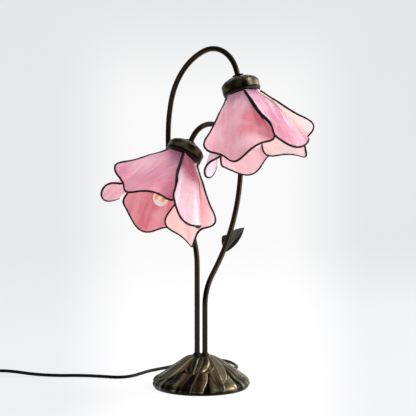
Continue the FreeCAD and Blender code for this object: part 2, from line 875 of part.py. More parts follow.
def build_bulb(prefix, place):
    """A tubular bulb: glass, screw base and the upright filaments."""
    top = "2 - socket_mouth"
    skins = []
    for inset, end in (("0", top), ("bulb_glass_wall", "%s + 1" % top)):
        skins.append(turned(None, [
            ("0", end),
            ("bulb_neck_radius - %s" % inset, end),
            ("bulb_neck_radius - %s" % inset, "%s - 4" % top),
            ("bulb_radius - %s" % inset, "%s - 4 - bulb_shoulder" % top),
            ("bulb_radius - %s" % inset, "-bulb_reach + bulb_radius",
             "(bulb_radius - %s) * 0.72" % inset,
             "-bulb_reach + bulb_radius - (bulb_radius - %s) * 0.7" % inset),
            ("bulb_radius * 0.12", "-bulb_reach + %s" % inset),
            ("0", "-bulb_reach + %s" % inset),
        ]))
    piece(cut(skins[0], [skins[1]]), "%s_bulb_glass" % prefix, place)
    base = [
        ("0", top),
        ("bulb_base_radius", top),
        ("bulb_base_radius", "%s + bulb_base_length - 3" % top),
        ("2.2", "%s + bulb_base_length" % top),
        ("0", "%s + bulb_base_length" % top),
    ]
    turned("%s_bulb_base" % prefix, base, place)
    stem_end = number("%s - filament_stem_length" % top)
    disc_end = stem_end - number("filament_disc - 0.2")
    strip_end = stem_end - number("filament_disc / 2 - 0.1 + filament_length")
    parts = [cylinder("filament_stem_radius", "filament_stem_length", Vector(0, 0, stem_end))]
    parts.append(cylinder("filament_circle + 1", "filament_disc", Vector(0, 0, disc_end)))
    for index in range(4):
        turn = math.radians(90.0 * index + 45.0)
        spot = Vector(math.cos(turn), math.sin(turn), 0) * value("filament_circle")
        parts.append(cylinder("filament_radius", "filament_length", spot + Vector(0, 0, strip_end)))
    piece(fused(parts), "%s_filament" % prefix, place)


def shade_place(stem):
    """The middle of a cap's rim, with Z pointing back up the stem's end."""
    turn = Rotation(Vector(0, 0, 1), STEMS[stem]["turn"])
    lean = Rotation(Vector(0, 1, 0), -STEMS[stem]["lean"])
    whole = turn.multiply(lean)
    down = whole.multVec(Vector(0, 0, -1))
    return Placement(STEMS[stem]["tip"] + down * value("cap_height"), whole)


def build_shade(prefix, stem):
    """One shade on the end of one stem."""
    place = shade_place(stem)
    build_holder(prefix, place)
    build_bulb(prefix, place)
    build_petals(prefix, place, value("%s_spin" % prefix))
    print(prefix, "rim at", [round(part, 2) for part in place.Base])


# ---------------------------------------------------------------- leaf
LEAF_PLAN = [(0.12, 0.0), (0.62, 0.14), (0.98, 0.38), (0.9, 0.62), (0.5, 0.84), (0.0, 1.0)]


def leaf_mould(x, y):
    """Point and normal of the leaf: a shallow trough."""
    share = x / value("leaf_half_width")
    height = value("leaf_fold") * share ** 2
    normal = Vector(-2 * value("leaf_fold") * share / value("leaf_half_width"), 0, 1)
    normal.normalize()
    return Vector(x, y, height), normal


def stem_spot(name, height):
    """The centre of a stem where it passes a height, and its direction there."""
    info = STEMS[name]
    steps, _, _ = bend_steps(info["table"], value("%s_last_run" % name))
    foot = Vector(0, value("stem_foot"), 0)
    for step in steps:
        first, last = step[1] + foot, step[-1] + foot
        if first.y <= height <= last.y:
            if step[0] == "line":
                share = (height - first.y) / (last.y - first.y)
                spot = first + (last - first) * share
                return info["place"].multVec(Vector(spot.x, 0, spot.y))
            edge = Part.Arc(first, step[2] + foot, last)
            low, high = edge.FirstParameter, edge.LastParameter
            rising = edge.value(high).y > edge.value(low).y
            for _ in range(40):
                middle = (low + high) / 2
                if (edge.value(middle).y < height) == rising:
                    low = middle
                else:
                    high = middle
            spot = edge.value(low)
            return info["place"].multVec(Vector(spot.x, 0, spot.y))
    raise ValueError(height)


def build_leaf():
    """The single metal leaf behind the short stem, on a stub of wire."""
    half = value("leaf_half_width")
    length = value("leaf_length")
    right = [(x * half, y * length) for x, y in LEAF_PLAN]
    left = [(-x, y) for x, y in right]
    closing = plan_line(left[0], right[0])
    outline = [plan_curve(right), plan_curve(left[::-1]), closing]
    spread = (-1.1 * half, 1.1 * half)
    blade = bent_sheet(outline, leaf_mould, value("leaf_thickness"), spread, (-0.1 * length, 1.1 * length))
    stem = stem_spot("short", value("leaf_height"))
    lean = math.radians(value("leaf_lean"))
    along = Vector(math.sin(lean), math.tan(math.radians(value("leaf_back_lean"))) * 1.163, math.cos(lean))
    along.normalize()
    side = Vector(math.cos(lean), 0, -math.sin(lean))
    face = side.cross(along)
    start = stem + Vector(value("leaf_offset"), value("stem_radius") + value("leaf_setback"), 0)
    matrix = FreeCAD.Matrix(
        side.x, along.x, face.x, start.x,
        side.y, along.y, face.y, start.y,
        side.z, along.z, face.z, start.z,
        0, 0, 0, 1,
    )
    blade.Placement = Placement(matrix)
    # the wire runs from the tube's side to the middle of the blade's foot
    reach = start + along * value("leaf_tuck") - stem
    reach -= along * reach.dot(along) * 0.6
    gap = value("stem_radius") + value("petiole_gap")
    way = Vector(reach)
    way.normalize()
    stalk = Part.makeCylinder(value("petiole_radius"), reach.Length - gap, stem + way * gap, way)
    piece(shaped(blade.fuse(stalk)), "stem_leaf")


# ---------------------------------------------------------------- cord
FLOOR = number("cord_diameter / 2 + cord_lift")
FREE_ROUTE = [
    (57.0, 121.5, 5.0), (55.0, 147.0, FLOOR), (49.0, 170.0, FLOOR), (35.0, 189.0, FLOOR),
    (14.0, 197.0, FLOOR), (-8.0, 188.5, FLOOR), (-28.0, 163.5, FLOOR), (-47.0, 137.0, FLOOR),
    (-66.0, 118.0, FLOOR), (-84.0, 99.0, FLOOR), (-96.3, 77.0, FLOOR), (-109.5, 57.5, FLOOR),
    (-128.5, 50.5, FLOOR), (-151.5, 58.5, FLOOR), (-185.0, 66.5, FLOOR), (-222.0, 64.5, FLOOR),
    (-260.0, 70.5, 3.4), (-297.0, 72.0, 8.6),
]


def tangent_path(points, label):
    """Straight runs joined by tangent arcs through a route's points."""
    spots = [Vector(*point) for point in points]
    edges = []
    radii = []
    start = spots[0]
    for before, corner, after in zip(spots, spots[1:], spots[2:]):
        inward = corner - before
        outward = after - corner
        shorter = min(inward.Length, outward.Length)
        turn = inward.getAngle(outward)
        cut_back = 0.45 * shorter
        radii.append(cut_back / math.tan(turn / 2))
        inward.normalize()
        outward.normalize()
        first = corner - inward * cut_back
        last = corner + outward * cut_back
        chord = (first + last) / 2
        bulge = corner - chord
        sagitta = radii[-1] * (1 - math.cos(turn / 2))
        bulge.normalize()
        middle = chord + bulge * sagitta
        edges.append(Part.LineSegment(start, first).toShape())
        edges.append(Part.Arc(first, middle, last).toShape())
        start = last
    edges.append(Part.LineSegment(start, spots[-1]).toShape())
    path = Part.Wire(edges)
    print(label, "length", round(path.Length, 1), "radii", [round(radius, 1) for radius in radii])
    return path


def tube_along(path, start, way):
    """A round cord along a path."""
    ring = Part.Wire(Part.Circle(start, way, value("cord_diameter") / 2).toShape())
    pipe = Part.BRepOffsetAPI.MakePipeShell(path)
    pipe.add(ring, False, False)
    pipe.build()
    pipe.makeSolid()
    return pipe.shape()


def cord_piece(label, points):
    """A free stretch of cord as a node."""
    path = tangent_path(points, label)
    start = Vector(*points[0])
    solid = tube_along(path, start, Vector(*points[1]) - start)
    section = math.pi * (value("cord_diameter") / 2) ** 2
    print(label, "volume over section times length", round(solid.Volume / (section * path.Length), 4))
    piece(shaped(solid), label)
    return path.Length


def coil_spot(turns):
    """Point and direction of the coil after so many turns from its left-hand start."""
    whole = value("coil_turns")
    pitch = value("coil_pitch")
    angle = math.pi + 2 * math.pi * turns
    past = turns - whole / 2
    radius = value("coil_radius") - pitch * (whole / 2 - abs(past))
    growth = pitch * ((past > 0) - (past < 0))
    share = min(max(past / 0.5 + 0.5, 0.0), 1.0)
    height = pitch * share
    climb = pitch / 0.5 if 0 < share < 1 else 0.0
    centre = Vector(value("coil_across"), value("coil_along"), FLOOR)
    out = Vector(math.cos(angle), math.sin(angle), 0)
    round_way = Vector(-math.sin(angle), math.cos(angle), 0)
    spot = centre + out * radius + Vector(0, 0, height)
    way = out * growth + round_way * (2 * math.pi * radius) + Vector(0, 0, climb)
    way.normalize()
    return spot, way


def biarc(first, first_way, last, last_way):
    """Two tangent arcs between two points with directions."""
    gap = last - first
    both = first_way + last_way
    spread = 2 * (1 - first_way.dot(last_way))
    root = math.sqrt(gap.dot(both) ** 2 + spread * gap.dot(gap))
    reach = (root - gap.dot(both)) / spread
    joint = ((first + first_way * reach) + (last - last_way * reach)) / 2
    edges = []
    for start, way, end in ((first, first_way, joint), (joint, None, last)):
        chord = end - start
        if way is None:
            corner = last - last_way * reach
        else:
            corner = first + first_way * reach
        bulge = corner - (start + end) / 2
        half_turn = math.atan2(bulge.Length, chord.Length / 2)
        sagitta = chord.Length / 2 * math.tan(half_turn / 2)
        bulge.normalize()
        edges.append(Part.Arc(start, (start + end) / 2 + bulge * sagitta, end).toShape())
    return edges


def build_coil():
    """The wound stretch of the cord: in and out again in two layers, one unbroken tube."""
    whole = value("coil_turns")
    climb_start = whole / 2 - 0.25
    steps = math.ceil(climb_start * 4)
    marks = [climb_start * row / steps for row in range(steps + 1)]
    marks += [whole - mark for mark in [whole / 2] + marks[::-1]]
    spots = [coil_spot(mark) for mark in marks]
    first, first_way = spots[0][0], Vector(0, -1, 0)
    last, last_way = spots[-1][0], Vector(1, 0, 0)
    spots[0] = (first, first_way)
    spots[-1] = (last, last_way)
    lead = value("cord_diameter")
    edges = [Part.LineSegment(first - first_way * lead, first).toShape()]
    for (spot, way), (next_spot, next_way) in zip(spots, spots[1:]):
        edges.extend(biarc(spot, way, next_spot, next_way))
    reach = value("coil_tail")
    edges.append(Part.LineSegment(last, last + last_way * reach).toShape())
    path = Part.Wire(edges)
    solid = tube_along(path, first - first_way * lead, first_way)
    section = math.pi * (value("cord_diameter") / 2) ** 2
    print("coil length", round(path.Length, 1), "volume ratio", round(solid.Volume / (section * path.Length), 4))
    fine = path.discretize(Distance=value("cord_diameter") / 2)
    least = min(
        a.distanceToPoint(b)
        for row, a in enumerate(fine)
        for b in fine[row + 12:]
    )
    print("coil least gap to itself", round(least - value("cord_diameter"), 2))
    piece(shaped(solid), "cord_coil")
    return path.Length, first - first_way * lead, last + last_way * reach


def build_cord():
    """Gland, free stretch, link, coil; the switch and the plug sit between them."""
    angle = value("gland_angle")
    height = value("gland_height")
    bore = "cord_diameter / 2 + gland_bore_fit"
    outside = "foot_radius + relief_height + gland_flange_gap"
    gland = [
        (bore, "foot_radius - casting_wall - gland_root"),
        ("gland_neck_radius", "foot_radius - casting_wall - gland_root"),
        ("gland_neck_radius", outside),
        ("gland_flange_radius", outside),
        ("gland_flange_radius", "%s + gland_flange_thickness" % outside),
        ("cord_diameter / 2 + gland_tip_wall", "gland_reach"),
        (bore, "gland_reach"),
    ]
    turned("cord_gland", gland, radial(0, height, angle))
    route = []
    for radius in (number("gland_reach - gland_lead"), number("gland_reach + gland_lead")):
        spot = radial(radius, height, angle).Base
        route.append((spot.x, spot.y, spot.z))
    along = value("switch_along")
    right = value("switch_across")
    left = right - value("switch_length")
    middle = number("switch_height / 2 + cord_lift")
    route += FREE_ROUTE
    route.append((right, along, middle))
    total = cord_piece("cord_free", route)
    coil_length, coil_start, coil_end = build_coil()
    link = [
        (left, along, middle), (left - 16.0, along, middle), (left - 34.0, along - 9.0, 5.0),
        (coil_start.x, coil_start.y + 18.0, coil_start.z), (coil_start.x, coil_start.y, coil_start.z),
    ]
    total += cord_piece("cord_link", link) + coil_length
    print("cord length in all", round(total, 1))
    return coil_end


# ---------------------------------------------------------------- switch and plug
def rounded_slab(length, width, height, place):
    """A bar with rounded upright corners."""
    slab = block(length, width, height, Placement())
    item = document.addObject("Part::Fillet", "Rounded")
    item.Base = slab
    document.recompute()
    edges = []
    for index, edge in enumerate(slab.Shape.Edges, 1):
        way = edge.Vertexes[1].Point - edge.Vertexes[0].Point
        if abs(way.z) > 0.9 * way.Length:
            edges.append((index, value("switch_corner"), value("switch_corner")))
    item.Edges = edges
    item.Placement = place
    return item


def build_switch():
    """An inline switch: two halves and a rocker that rests on a pin between two cheeks."""
    left = value("switch_across") - value("switch_length") / 2
    place = at(left, value("switch_along"), value("cord_lift"))
    half = "switch_height / 2"
    cavity = ("switch_cavity_length", "switch_cavity_width")
    outer = rounded_slab("switch_length", "switch_width", half, Placement())
    hollow = block(*cavity, half, at(0, 0, value("switch_wall")))
    piece(cut(outer, [hollow]), "switch_body", place)

    split = at(0, 0, number(half))
    lid = rounded_slab("switch_length", "switch_width", half, split)
    lid_hollow = block(*cavity, "%s - switch_wall" % half, split)
    window_width = "rocker_width + 2 * rocker_fit"
    window = block("2 * (rocker_radius + rocker_fit)", window_width, "switch_height", split)
    cheeks = []
    for side in (-1, 1):
        across = side * number("(%s + rocker_cheek) / 2" % window_width)
        spot = at(0, across, number("%s + 0.6" % half))
        cheeks.append(block("rocker_cheek_length", "rocker_cheek", "%s - switch_wall + 0.4" % half, spot))
    shell = fused([cut(lid, [lid_hollow])] + cheeks)
    across_way = Vector(0, 1, 0)
    bore_length = "%s + 2 * rocker_cheek + 1" % window_width
    bore_start = Vector(0, -number("(%s) / 2" % bore_length), number("rocker_pivot - cord_lift"))
    pin_hole = cylinder("rocker_pin_radius + rocker_pin_fit", bore_length, bore_start, across_way)
    piece(cut(shell, [window, pin_hole]), "switch_cover", place)

    wheel = cylinder("rocker_radius", "rocker_width", Vector(0, -number("rocker_width / 2"), 0), across_way)
    over = "2.5 * rocker_radius"
    notches = []
    for side in (-1, 1):
        notch = block(over, "rocker_width + 2", "rocker_radius", Placement())
        tilt = Rotation(across_way, -side * value("rocker_throw") / 2)
        lift = Placement(Vector(0, 0, number("rocker_radius - rocker_notch")), tilt)
        start = 0.0 if side > 0 else -number(over)
        notch.Placement = lift.multiply(at(start, -number("rocker_width / 2 + 1")))
        notches.append(notch)
    flat = block(over, "rocker_width + 2", "rocker_radius", at(0, 0, number("rocker_flat - 2 * rocker_radius")))
    pin_length = "%s + 2 * rocker_cheek - 0.4" % window_width
    pin_start = Vector(0, -number("(%s) / 2" % pin_length), 0)
    pin = cylinder("rocker_pin_radius", pin_length, pin_start, across_way)
    rocker = fused([cut(wheel, notches + [flat]), pin])
    pivot = Placement(
        Vector(left, value("switch_along"), value("rocker_pivot")),
        Rotation(across_way, -value("rocker_throw") / 2),
    )
    piece(rocker, "switch_rocker", pivot)


def build_plug(coil_end):
    """A moulded two-blade plug with a tapered relief, lying where the coil ends."""
    axis = Rotation(Vector(0, 1, 0), 90)
    place = Placement(coil_end, Rotation())
    relief = [
        ("0", "0"),
        ("cord_diameter / 2 + plug_relief_tip", "0"),
        ("cord_diameter / 2 + plug_relief_root", "plug_relief"),
        ("0", "plug_relief"),
    ]
    sleeve = turned(None, relief)
    sleeve.Placement = Placement(Vector(0, 0, 0), axis)
    half = "plug_width / 2"
    points = [
        ("plug_relief", "-(%s) * 0.55" % half), ("plug_relief + plug_length * 0.6", "-(%s)" % half),
        ("plug_relief + plug_length", "-(%s)" % half), ("plug_relief + plug_length", half),
        ("plug_relief + plug_length * 0.6", half), ("plug_relief", "(%s) * 0.55" % half),
    ]
    body = padded(None, points, "plug_thickness")
    body.Placement = at(0, 0, -number("plug_thickness / 2"))
    rounded = document.addObject("Part::Chamfer", "Eased")
    rounded.Base = body
    document.recompute()
    edges = []
    for index, edge in enumerate(body.Shape.Edges, 1):
        if edge.BoundBox.ZLength < 0.01:
            edges.append((index, value("plug_easing"), value("plug_easing")))
    rounded.Edges = edges
    piece(fused([rounded, sleeve]), "plug_body", place)
    blades = []
    middle = number("plug_relief + plug_length + blade_length / 2")
    for side in (-1, 1):
        spot = at(middle, side * number("blade_spacing / 2"), -number("blade_width / 2"))
        blades.append(block("blade_length", "blade_thickness", "blade_width", spot))
    piece(grouped(blades), "plug_blades", place)


# ---------------------------------------------------------------- whole lamp
def check_and_write():
    """Stop on anything failed or open; otherwise write one file a piece."""
    document.recompute()
    for item in document.Objects:
        for word in ("Invalid", "Error"):
            if word in item.State:
                raise RuntimeError("%s (%s): %s" % (item.Name, item.Label, item.State))
    for item in PIECES:
        if item.Shape.isNull() or not item.Shape.isValid() or item.Shape.Volume <= 0:
            raise RuntimeError("bad shape: " + item.Label)
    for item in PIECES:
        item.Shape.exportStep("parts/%s.step" % item.Label)
    print(len(PIECES), "pieces written")


build_stem("tall", TALL_BENDS, 1)
build_stem("short", SHORT_BENDS, -1)
build_base()
build_shade("upper", "tall")
build_shade("lower", "short")
build_leaf()
end_of_coil = build_cord()
build_switch()
build_plug(end_of_coil)
check_and_write()
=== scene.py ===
"""A table lamp with two leaded-glass flower shades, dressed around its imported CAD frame."""
import logging
import math
from dataclasses import dataclass, field
from enum import Enum
from typing import Iterable, Sequence

import bmesh
import bpy
from mathutils import Matrix, Vector, noise


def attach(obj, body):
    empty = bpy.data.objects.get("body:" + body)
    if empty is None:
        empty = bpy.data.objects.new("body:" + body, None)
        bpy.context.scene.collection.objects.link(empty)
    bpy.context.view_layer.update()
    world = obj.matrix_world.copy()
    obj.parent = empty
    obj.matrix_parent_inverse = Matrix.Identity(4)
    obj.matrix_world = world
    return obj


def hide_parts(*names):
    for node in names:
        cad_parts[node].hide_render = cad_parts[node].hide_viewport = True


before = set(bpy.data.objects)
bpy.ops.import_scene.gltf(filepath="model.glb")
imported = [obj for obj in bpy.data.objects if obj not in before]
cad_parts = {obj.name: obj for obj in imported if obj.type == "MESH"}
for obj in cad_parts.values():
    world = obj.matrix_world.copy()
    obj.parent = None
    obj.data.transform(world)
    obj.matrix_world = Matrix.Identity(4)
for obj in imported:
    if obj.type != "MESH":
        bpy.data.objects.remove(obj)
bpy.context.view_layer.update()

log = logging.getLogger("lamp")
logging.basicConfig(level=logging.INFO, format="%(name)s: %(message)s")

MM = 0.001
Colour = tuple[float, float, float, float]
Socket = bpy.types.NodeSocket
Material = bpy.types.Material
Shape = bmesh.types.BMesh


class Body(Enum):
    """The rigid bodies of the lamp."""

    LAMP = "lamp"
    UPPER_BULB = "upper_bulb"
    LOWER_BULB = "lower_bulb"
    ROCKER = "rocker"


class Slot(Enum):
    """The record's finishes."""

    GLASS = "pink_glass"
    LEAD = "lead_line"
    BRONZE = "dark_bronze"
    TUBE = "bronze_tube"
    FELT = "felt"
    BALLAST = "ballast"
    ZINC = "zinc_steel"
    PLASTIC = "black_plastic"
    CONTACT = "brass_contact"
    BULB = "bulb_glass"
    FILAMENT = "filament"
    CORD = "black_cord"


def tint(red: float, green: float, blue: float) -> Colour:
    """A colour for a shader from its screen values.

    Args:
        red, green, blue: screen values from 0 to 255.
    Returns:
        The linear colour with full alpha.
    """
    parts = []
    for part in (red, green, blue):
        share = part / 255
        parts.append(share / 12.92 if share <= 0.04045 else ((share + 0.055) / 1.055) ** 2.4)
    return (*parts, 1.0)


def ease(low: float, high: float, amount: float) -> float:
    """A smooth step.

    Args:
        low, high: where the step starts and ends.
        amount: the place asked about.
    Returns:
        0 below low, 1 above high, and a smooth rise between.
    """
    share = min(max((amount - low) / (high - low), 0.0), 1.0)
    return share * share * (3 - 2 * share)


# ---- wiring of materials
class Wiring:
    """Adds nodes to one tree and joins them."""

    def __init__(self, tree: bpy.types.NodeTree) -> None:
        """Starts on a tree."""
        self.tree = tree

    def feed(self, socket: Socket, value: object) -> None:
        """Joins a socket to another, or sets its own value."""
        if isinstance(value, Socket):
            self.tree.links.new(value, socket)
        else:
            socket.default_value = value

    def add(
        self, kind: str, inputs: dict[str | int, object] | None = None, **settings: object,
    ) -> bpy.types.Node:
        """Adds a node.

        Args:
            kind: the node's type name.
            inputs: what each input gets, by name or place.
            settings: the node's own options.
        Returns:
            The node.
        """
        node = self.tree.nodes.new(kind)
        for name, value in settings.items():
            setattr(node, name, value)
        for name, value in (inputs or {}).items():
            self.feed(node.inputs[name], value)
        return node

    def math(self, operation: str, first: object, second: object = 0.0) -> Socket:
        """The result of one sum."""
        return self.add("ShaderNodeMath", {0: first, 1: second}, operation=operation).outputs[0]

    def vector(self, operation: str, first: object, second: object) -> Socket:
        """The result of one sum of vectors."""
        return self.add("ShaderNodeVectorMath", {0: first, 1: second}, operation=operation).outputs[0]

    def turned(self, spot: object, degrees: float) -> Socket:
        """Coordinates turned about their own z."""
        turn = (0, 0, math.radians(degrees))
        return self.add("ShaderNodeMapping", {"Vector": spot, "Rotation": turn}).outputs[0]

    def blend(self, factor: object, first: object, second: object) -> Socket:
        """Two colours mixed by a factor."""
        node = self.add("ShaderNodeMix", data_type="RGBA", clamp_result=True)
        self.feed(node.inputs[0], factor)
        self.feed(node.inputs[6], first)
        self.feed(node.inputs[7], second)
        return node.outputs[2]

    def spread(
        self, value: object, low: float, high: float, to_low: float = 0.0, to_high: float = 1.0,
    ) -> Socket:
        """A value's range moved to another, smoothly and clamped."""
        node = self.add(
            "ShaderNodeMapRange",
            {"Value": value, "From Min": low, "From Max": high, "To Min": to_low, "To Max": to_high},
            interpolation_type="SMOOTHSTEP",
        )
        return node.outputs["Result"]

    def grain(
        self, vector: object, scale: float, detail: float = 3.0, rough: float = 0.5, bend: float = 0.0,
    ) -> Socket:
        """Soft noise at a scale in cycles a metre."""
        node = self.add(
            "ShaderNodeTexNoise",
            {"Vector": vector, "Scale": scale, "Detail": detail, "Roughness": rough, "Distortion": bend},
        )
        return node.outputs["Fac"]

    def bump(self, height: object, strength: float, depth: float) -> Socket:
        """A normal tilted by a height times a depth in metres."""
        tilt = self.add("ShaderNodeBump", {"Height": height, "Strength": strength, "Distance": depth})
        return tilt.outputs["Normal"]

    def place(self, matrix: Matrix | None = None) -> Socket:
        """Object coordinates, seen from a piece's own frame.

        Args:
            matrix: the piece's frame in the lamp's, if not the lamp's own.
        Returns:
            The coordinates.
        """
        spot = self.add("ShaderNodeTexCoord").outputs["Object"]
        if matrix is None:
            return spot
        back = matrix.inverted()
        inputs = {"Vector": spot, "Location": back.to_translation(), "Rotation": back.to_euler("XYZ")}
        return self.add("ShaderNodeMapping", inputs).outputs["Vector"]


def build_patina_group() -> bpy.types.NodeTree:
    """Makes the shared effect of aged metal.

    Returns:
        A group that gives a mask of rubbed places, a mask of dark hollows and a height.
    """
    tree = bpy.data.node_groups.new("aged_metal", "ShaderNodeTree")
    tree.interface.new_socket("Scale", in_out="INPUT", socket_type="NodeSocketFloat")
    tree.interface.new_socket("Relief", in_out="INPUT", socket_type="NodeSocketFloat")
    for name in ("Rubbed", "Hollow", "Height"):
        tree.interface.new_socket(name, in_out="OUTPUT", socket_type="NodeSocketFloat")
    wiring = Wiring(tree)
    inside = tree.nodes.new("NodeGroupInput")
    outside = tree.nodes.new("NodeGroupOutput")
    spot = wiring.place()
    scaled = wiring.add("ShaderNodeVectorMath", {0: spot}, operation="SCALE")
    wiring.feed(scaled.inputs["Scale"], inside.outputs["Scale"])
    cloud = wiring.grain(scaled.outputs[0], 18.0, 4.0, 0.6)
    fine = wiring.grain(scaled.outputs[0], 160.0, 4.0, 0.6)
    raised = wiring.math("MULTIPLY", inside.outputs["Relief"], 0.9)
    worn = wiring.math("ADD", raised, wiring.math("MULTIPLY", cloud, 0.55))
    wiring.feed(outside.inputs["Rubbed"], wiring.spread(worn, 0.45, 1.05))
    low = wiring.math("SUBTRACT", wiring.math("MULTIPLY", cloud, 0.7), inside.outputs["Relief"])
    wiring.feed(outside.inputs["Hollow"], wiring.spread(low, -0.1, 0.5))
    pits = wiring.math("MULTIPLY", fine, 0.6)
    wiring.feed(outside.inputs["Height"], wiring.math("ADD", pits, wiring.math("MULTIPLY", cloud, 0.4)))
    return tree


class Finish:
    """A material under construction, ended by its Principled shader."""

    def __init__(self, name: str) -> None:
        """Starts an empty material."""
        self.material = bpy.data.materials.new(name)
        self.material.use_nodes = True
        self.wiring = Wiring(self.material.node_tree)
        self.shader = self.material.node_tree.nodes["Principled BSDF"]

    def give(self, **inputs: object) -> Material:
        """Sets or joins the shader's inputs, named with _ for spaces.

        Returns:
            The finished material.
        """
        for name, value in inputs.items():
            self.wiring.feed(self.shader.inputs[name.replace("_", " ")], value)
        return self.material


@dataclass(frozen=True)
class MetalFinish:
    """Cast, plated or plain metal with age on it."""

    name: str
    dark: Colour
    body: Colour
    rubbed: Colour
    roughness: tuple[float, float] = (0.28, 0.5)
    scale: float = 1.0
    relief: float = 0.35
    bump: float = 0.15
    metallic: float = 1.0
    attribute: str = ""
    shine: float = 0.5

    def build(self, patina: bpy.types.NodeTree) -> Material:
        """Makes the material.

        Args:
            patina: the shared group of aged metal.
        Returns:
            The material.
        """
        finish = Finish(self.name)
        wiring = finish.wiring
        relief: object = self.relief
        if self.attribute:
            relief = wiring.add("ShaderNodeAttribute", attribute_name=self.attribute).outputs["Fac"]
        age = wiring.add("ShaderNodeGroup", node_tree=patina)
        wiring.feed(age.inputs["Scale"], self.scale)
        wiring.feed(age.inputs["Relief"], relief)
        colour = wiring.blend(age.outputs["Rubbed"], self.body, self.rubbed)
        colour = wiring.blend(age.outputs["Hollow"], colour, self.dark)
        rough = wiring.spread(age.outputs["Rubbed"], 0.0, 1.0, self.roughness[1], self.roughness[0])
        return finish.give(
            Base_Color=colour,
            Roughness=rough,
            Metallic=self.metallic,
            Specular_IOR_Level=self.shine,
            Normal=wiring.bump(age.outputs["Height"], self.bump, 0.0006),
        )


@dataclass(frozen=True)
class GlassPatch:
    """A cloud of another colour in a petal: its centre, size and turn in the petal's plan, in mm."""

    colour: Colour
    centre: tuple[float, float]
    size: tuple[float, float]
    turn: float = 0.0
    amount: float = 1.0


@dataclass(frozen=True)
class OpalGlass:
    """Streaked opalescent glass of one petal, with a painted glow of its own colour in place of light shining
    through it.
    """

    name: str
    ground: Colour
    streak: Colour
    patches: tuple[GlassPatch, ...] = ()
    turn: float = 0.0
    streaks: float = 0.6
    wisps: float = 0.3
    seed: float = 0.0
    # painted glow: emission strength that stands in for light shining through the glass
    painted_glow: float = 0.12

    def build(self, place: Matrix) -> Material:
        """Makes the material.

        Args:
            place: the petal's frame: x across, y along from the neck, z out of its face.
        Returns:
            The material.
        """
        finish = Finish(self.name)
        wiring = finish.wiring
        spot = wiring.place(place)
        shifted = wiring.vector("ADD", spot, (self.seed, 0, 0))
        turned = wiring.turned(shifted, self.turn)
        drawn = wiring.add("ShaderNodeMapping", {"Vector": turned, "Scale": (1.0, 0.13, 0.3)}).outputs[0]
        cloud = wiring.grain(turned, 30.0, 3.0, 0.55, 0.5)
        wide = wiring.grain(drawn, 85.0, 3.0, 0.6, 0.8)
        fine = wiring.grain(drawn, 300.0, 3.0, 0.6, 0.4)
        both = wiring.math("ADD", wiring.math("MULTIPLY", wide, 0.7), wiring.math("MULTIPLY", fine, 0.3))
        colour = wiring.blend(wiring.spread(both, 0.38, 0.64, 0.0, self.streaks), self.ground, self.streak)
        for patch in self.patches:
            mask = self.patch_mask(wiring, shifted, both, cloud, patch)
            colour = wiring.blend(mask, colour, patch.colour)
        mist = wiring.math("ADD", cloud, wiring.math("MULTIPLY", fine, 0.35))
        colour = wiring.blend(wiring.spread(mist, 0.66, 0.92, 0.0, self.wisps), colour, WISP)
        seeds = wiring.grain(turned, 330.0, 2.0, 0.6)
        surface = wiring.math("ADD", wide, wiring.math("MULTIPLY", seeds, 0.08))
        return finish.give(
            Base_Color=colour,
            Roughness=wiring.spread(cloud, 0.3, 0.7, 0.24, 0.38),
            Transmission_Weight=0.3,
            Specular_IOR_Level=0.35,
            IOR=1.45,
            Coat_Weight=0.12,
            Coat_Roughness=0.08,
            # Painted glow: the glass emits its own colour in place of light shining through it.
            Emission_Color=colour,
            Emission_Strength=self.painted_glow,
            Normal=wiring.bump(surface, 0.3, 0.001),
        )

    def patch_mask(
        self, wiring: Wiring, spot: Socket, streaks: Socket, cloud: Socket, patch: GlassPatch,
    ) -> Socket:
        """Where one cloud of colour lies.

        Args:
            wiring: the material's tree.
            spot: the petal's coordinates, already shifted by the seed.
            streaks: long noise that draws the cloud's edge out along the petal.
            cloud: soft noise that breaks the edge.
            patch: the cloud.
        Returns:
            The mask, from 0 to the cloud's amount.
        """
        centre = (patch.centre[0] * MM + self.seed, patch.centre[1] * MM, 0)
        turned = wiring.turned(wiring.vector("SUBTRACT", spot, centre), patch.turn)
        scaled = wiring.vector("MULTIPLY", turned, (1 / (patch.size[0] * MM), 1 / (patch.size[1] * MM), 0))
        reach = wiring.add("ShaderNodeVectorMath", {0: scaled}, operation="LENGTH").outputs["Value"]
        ragged = wiring.math("MULTIPLY", streaks, 1.2)
        ragged = wiring.math("ADD", ragged, wiring.math("MULTIPLY", cloud, 1.4))
        broken = wiring.math("ADD", reach, wiring.math("SUBTRACT", ragged, 1.3))
        return wiring.spread(broken, 0.15, 1.35, patch.amount, 0.0)


# ---- making pieces
def chain(outline: Iterable[Sequence[float]]) -> Shape:
    """An open row of edges.

    Args:
        outline: points as radius and height, in metres.
    Returns:
        A bmesh with the row in the XZ plane.
    """
    mesh = bmesh.new()
    spots = [mesh.verts.new((x, 0, z)) for x, z in outline]
    for first, second in zip(spots, spots[1:]):
        mesh.edges.new((first, second))
    return mesh


def spun(outline: Iterable[Sequence[float]], steps: int) -> Shape:
    """A round form.

    Args:
        outline: the half section, in metres.
        steps: how many facets go round.
    Returns:
        The closed form round Z.
    """
    mesh = chain(outline)
    bmesh.ops.spin(
        mesh, geom=mesh.verts[:] + mesh.edges[:], cent=(0, 0, 0), axis=(0, 0, 1),
        angle=2 * math.pi, steps=steps, use_merge=True, use_duplicate=False,
    )
    bmesh.ops.remove_doubles(mesh, verts=mesh.verts, dist=1e-6)
    bmesh.ops.recalc_face_normals(mesh, faces=mesh.faces)
    return mesh


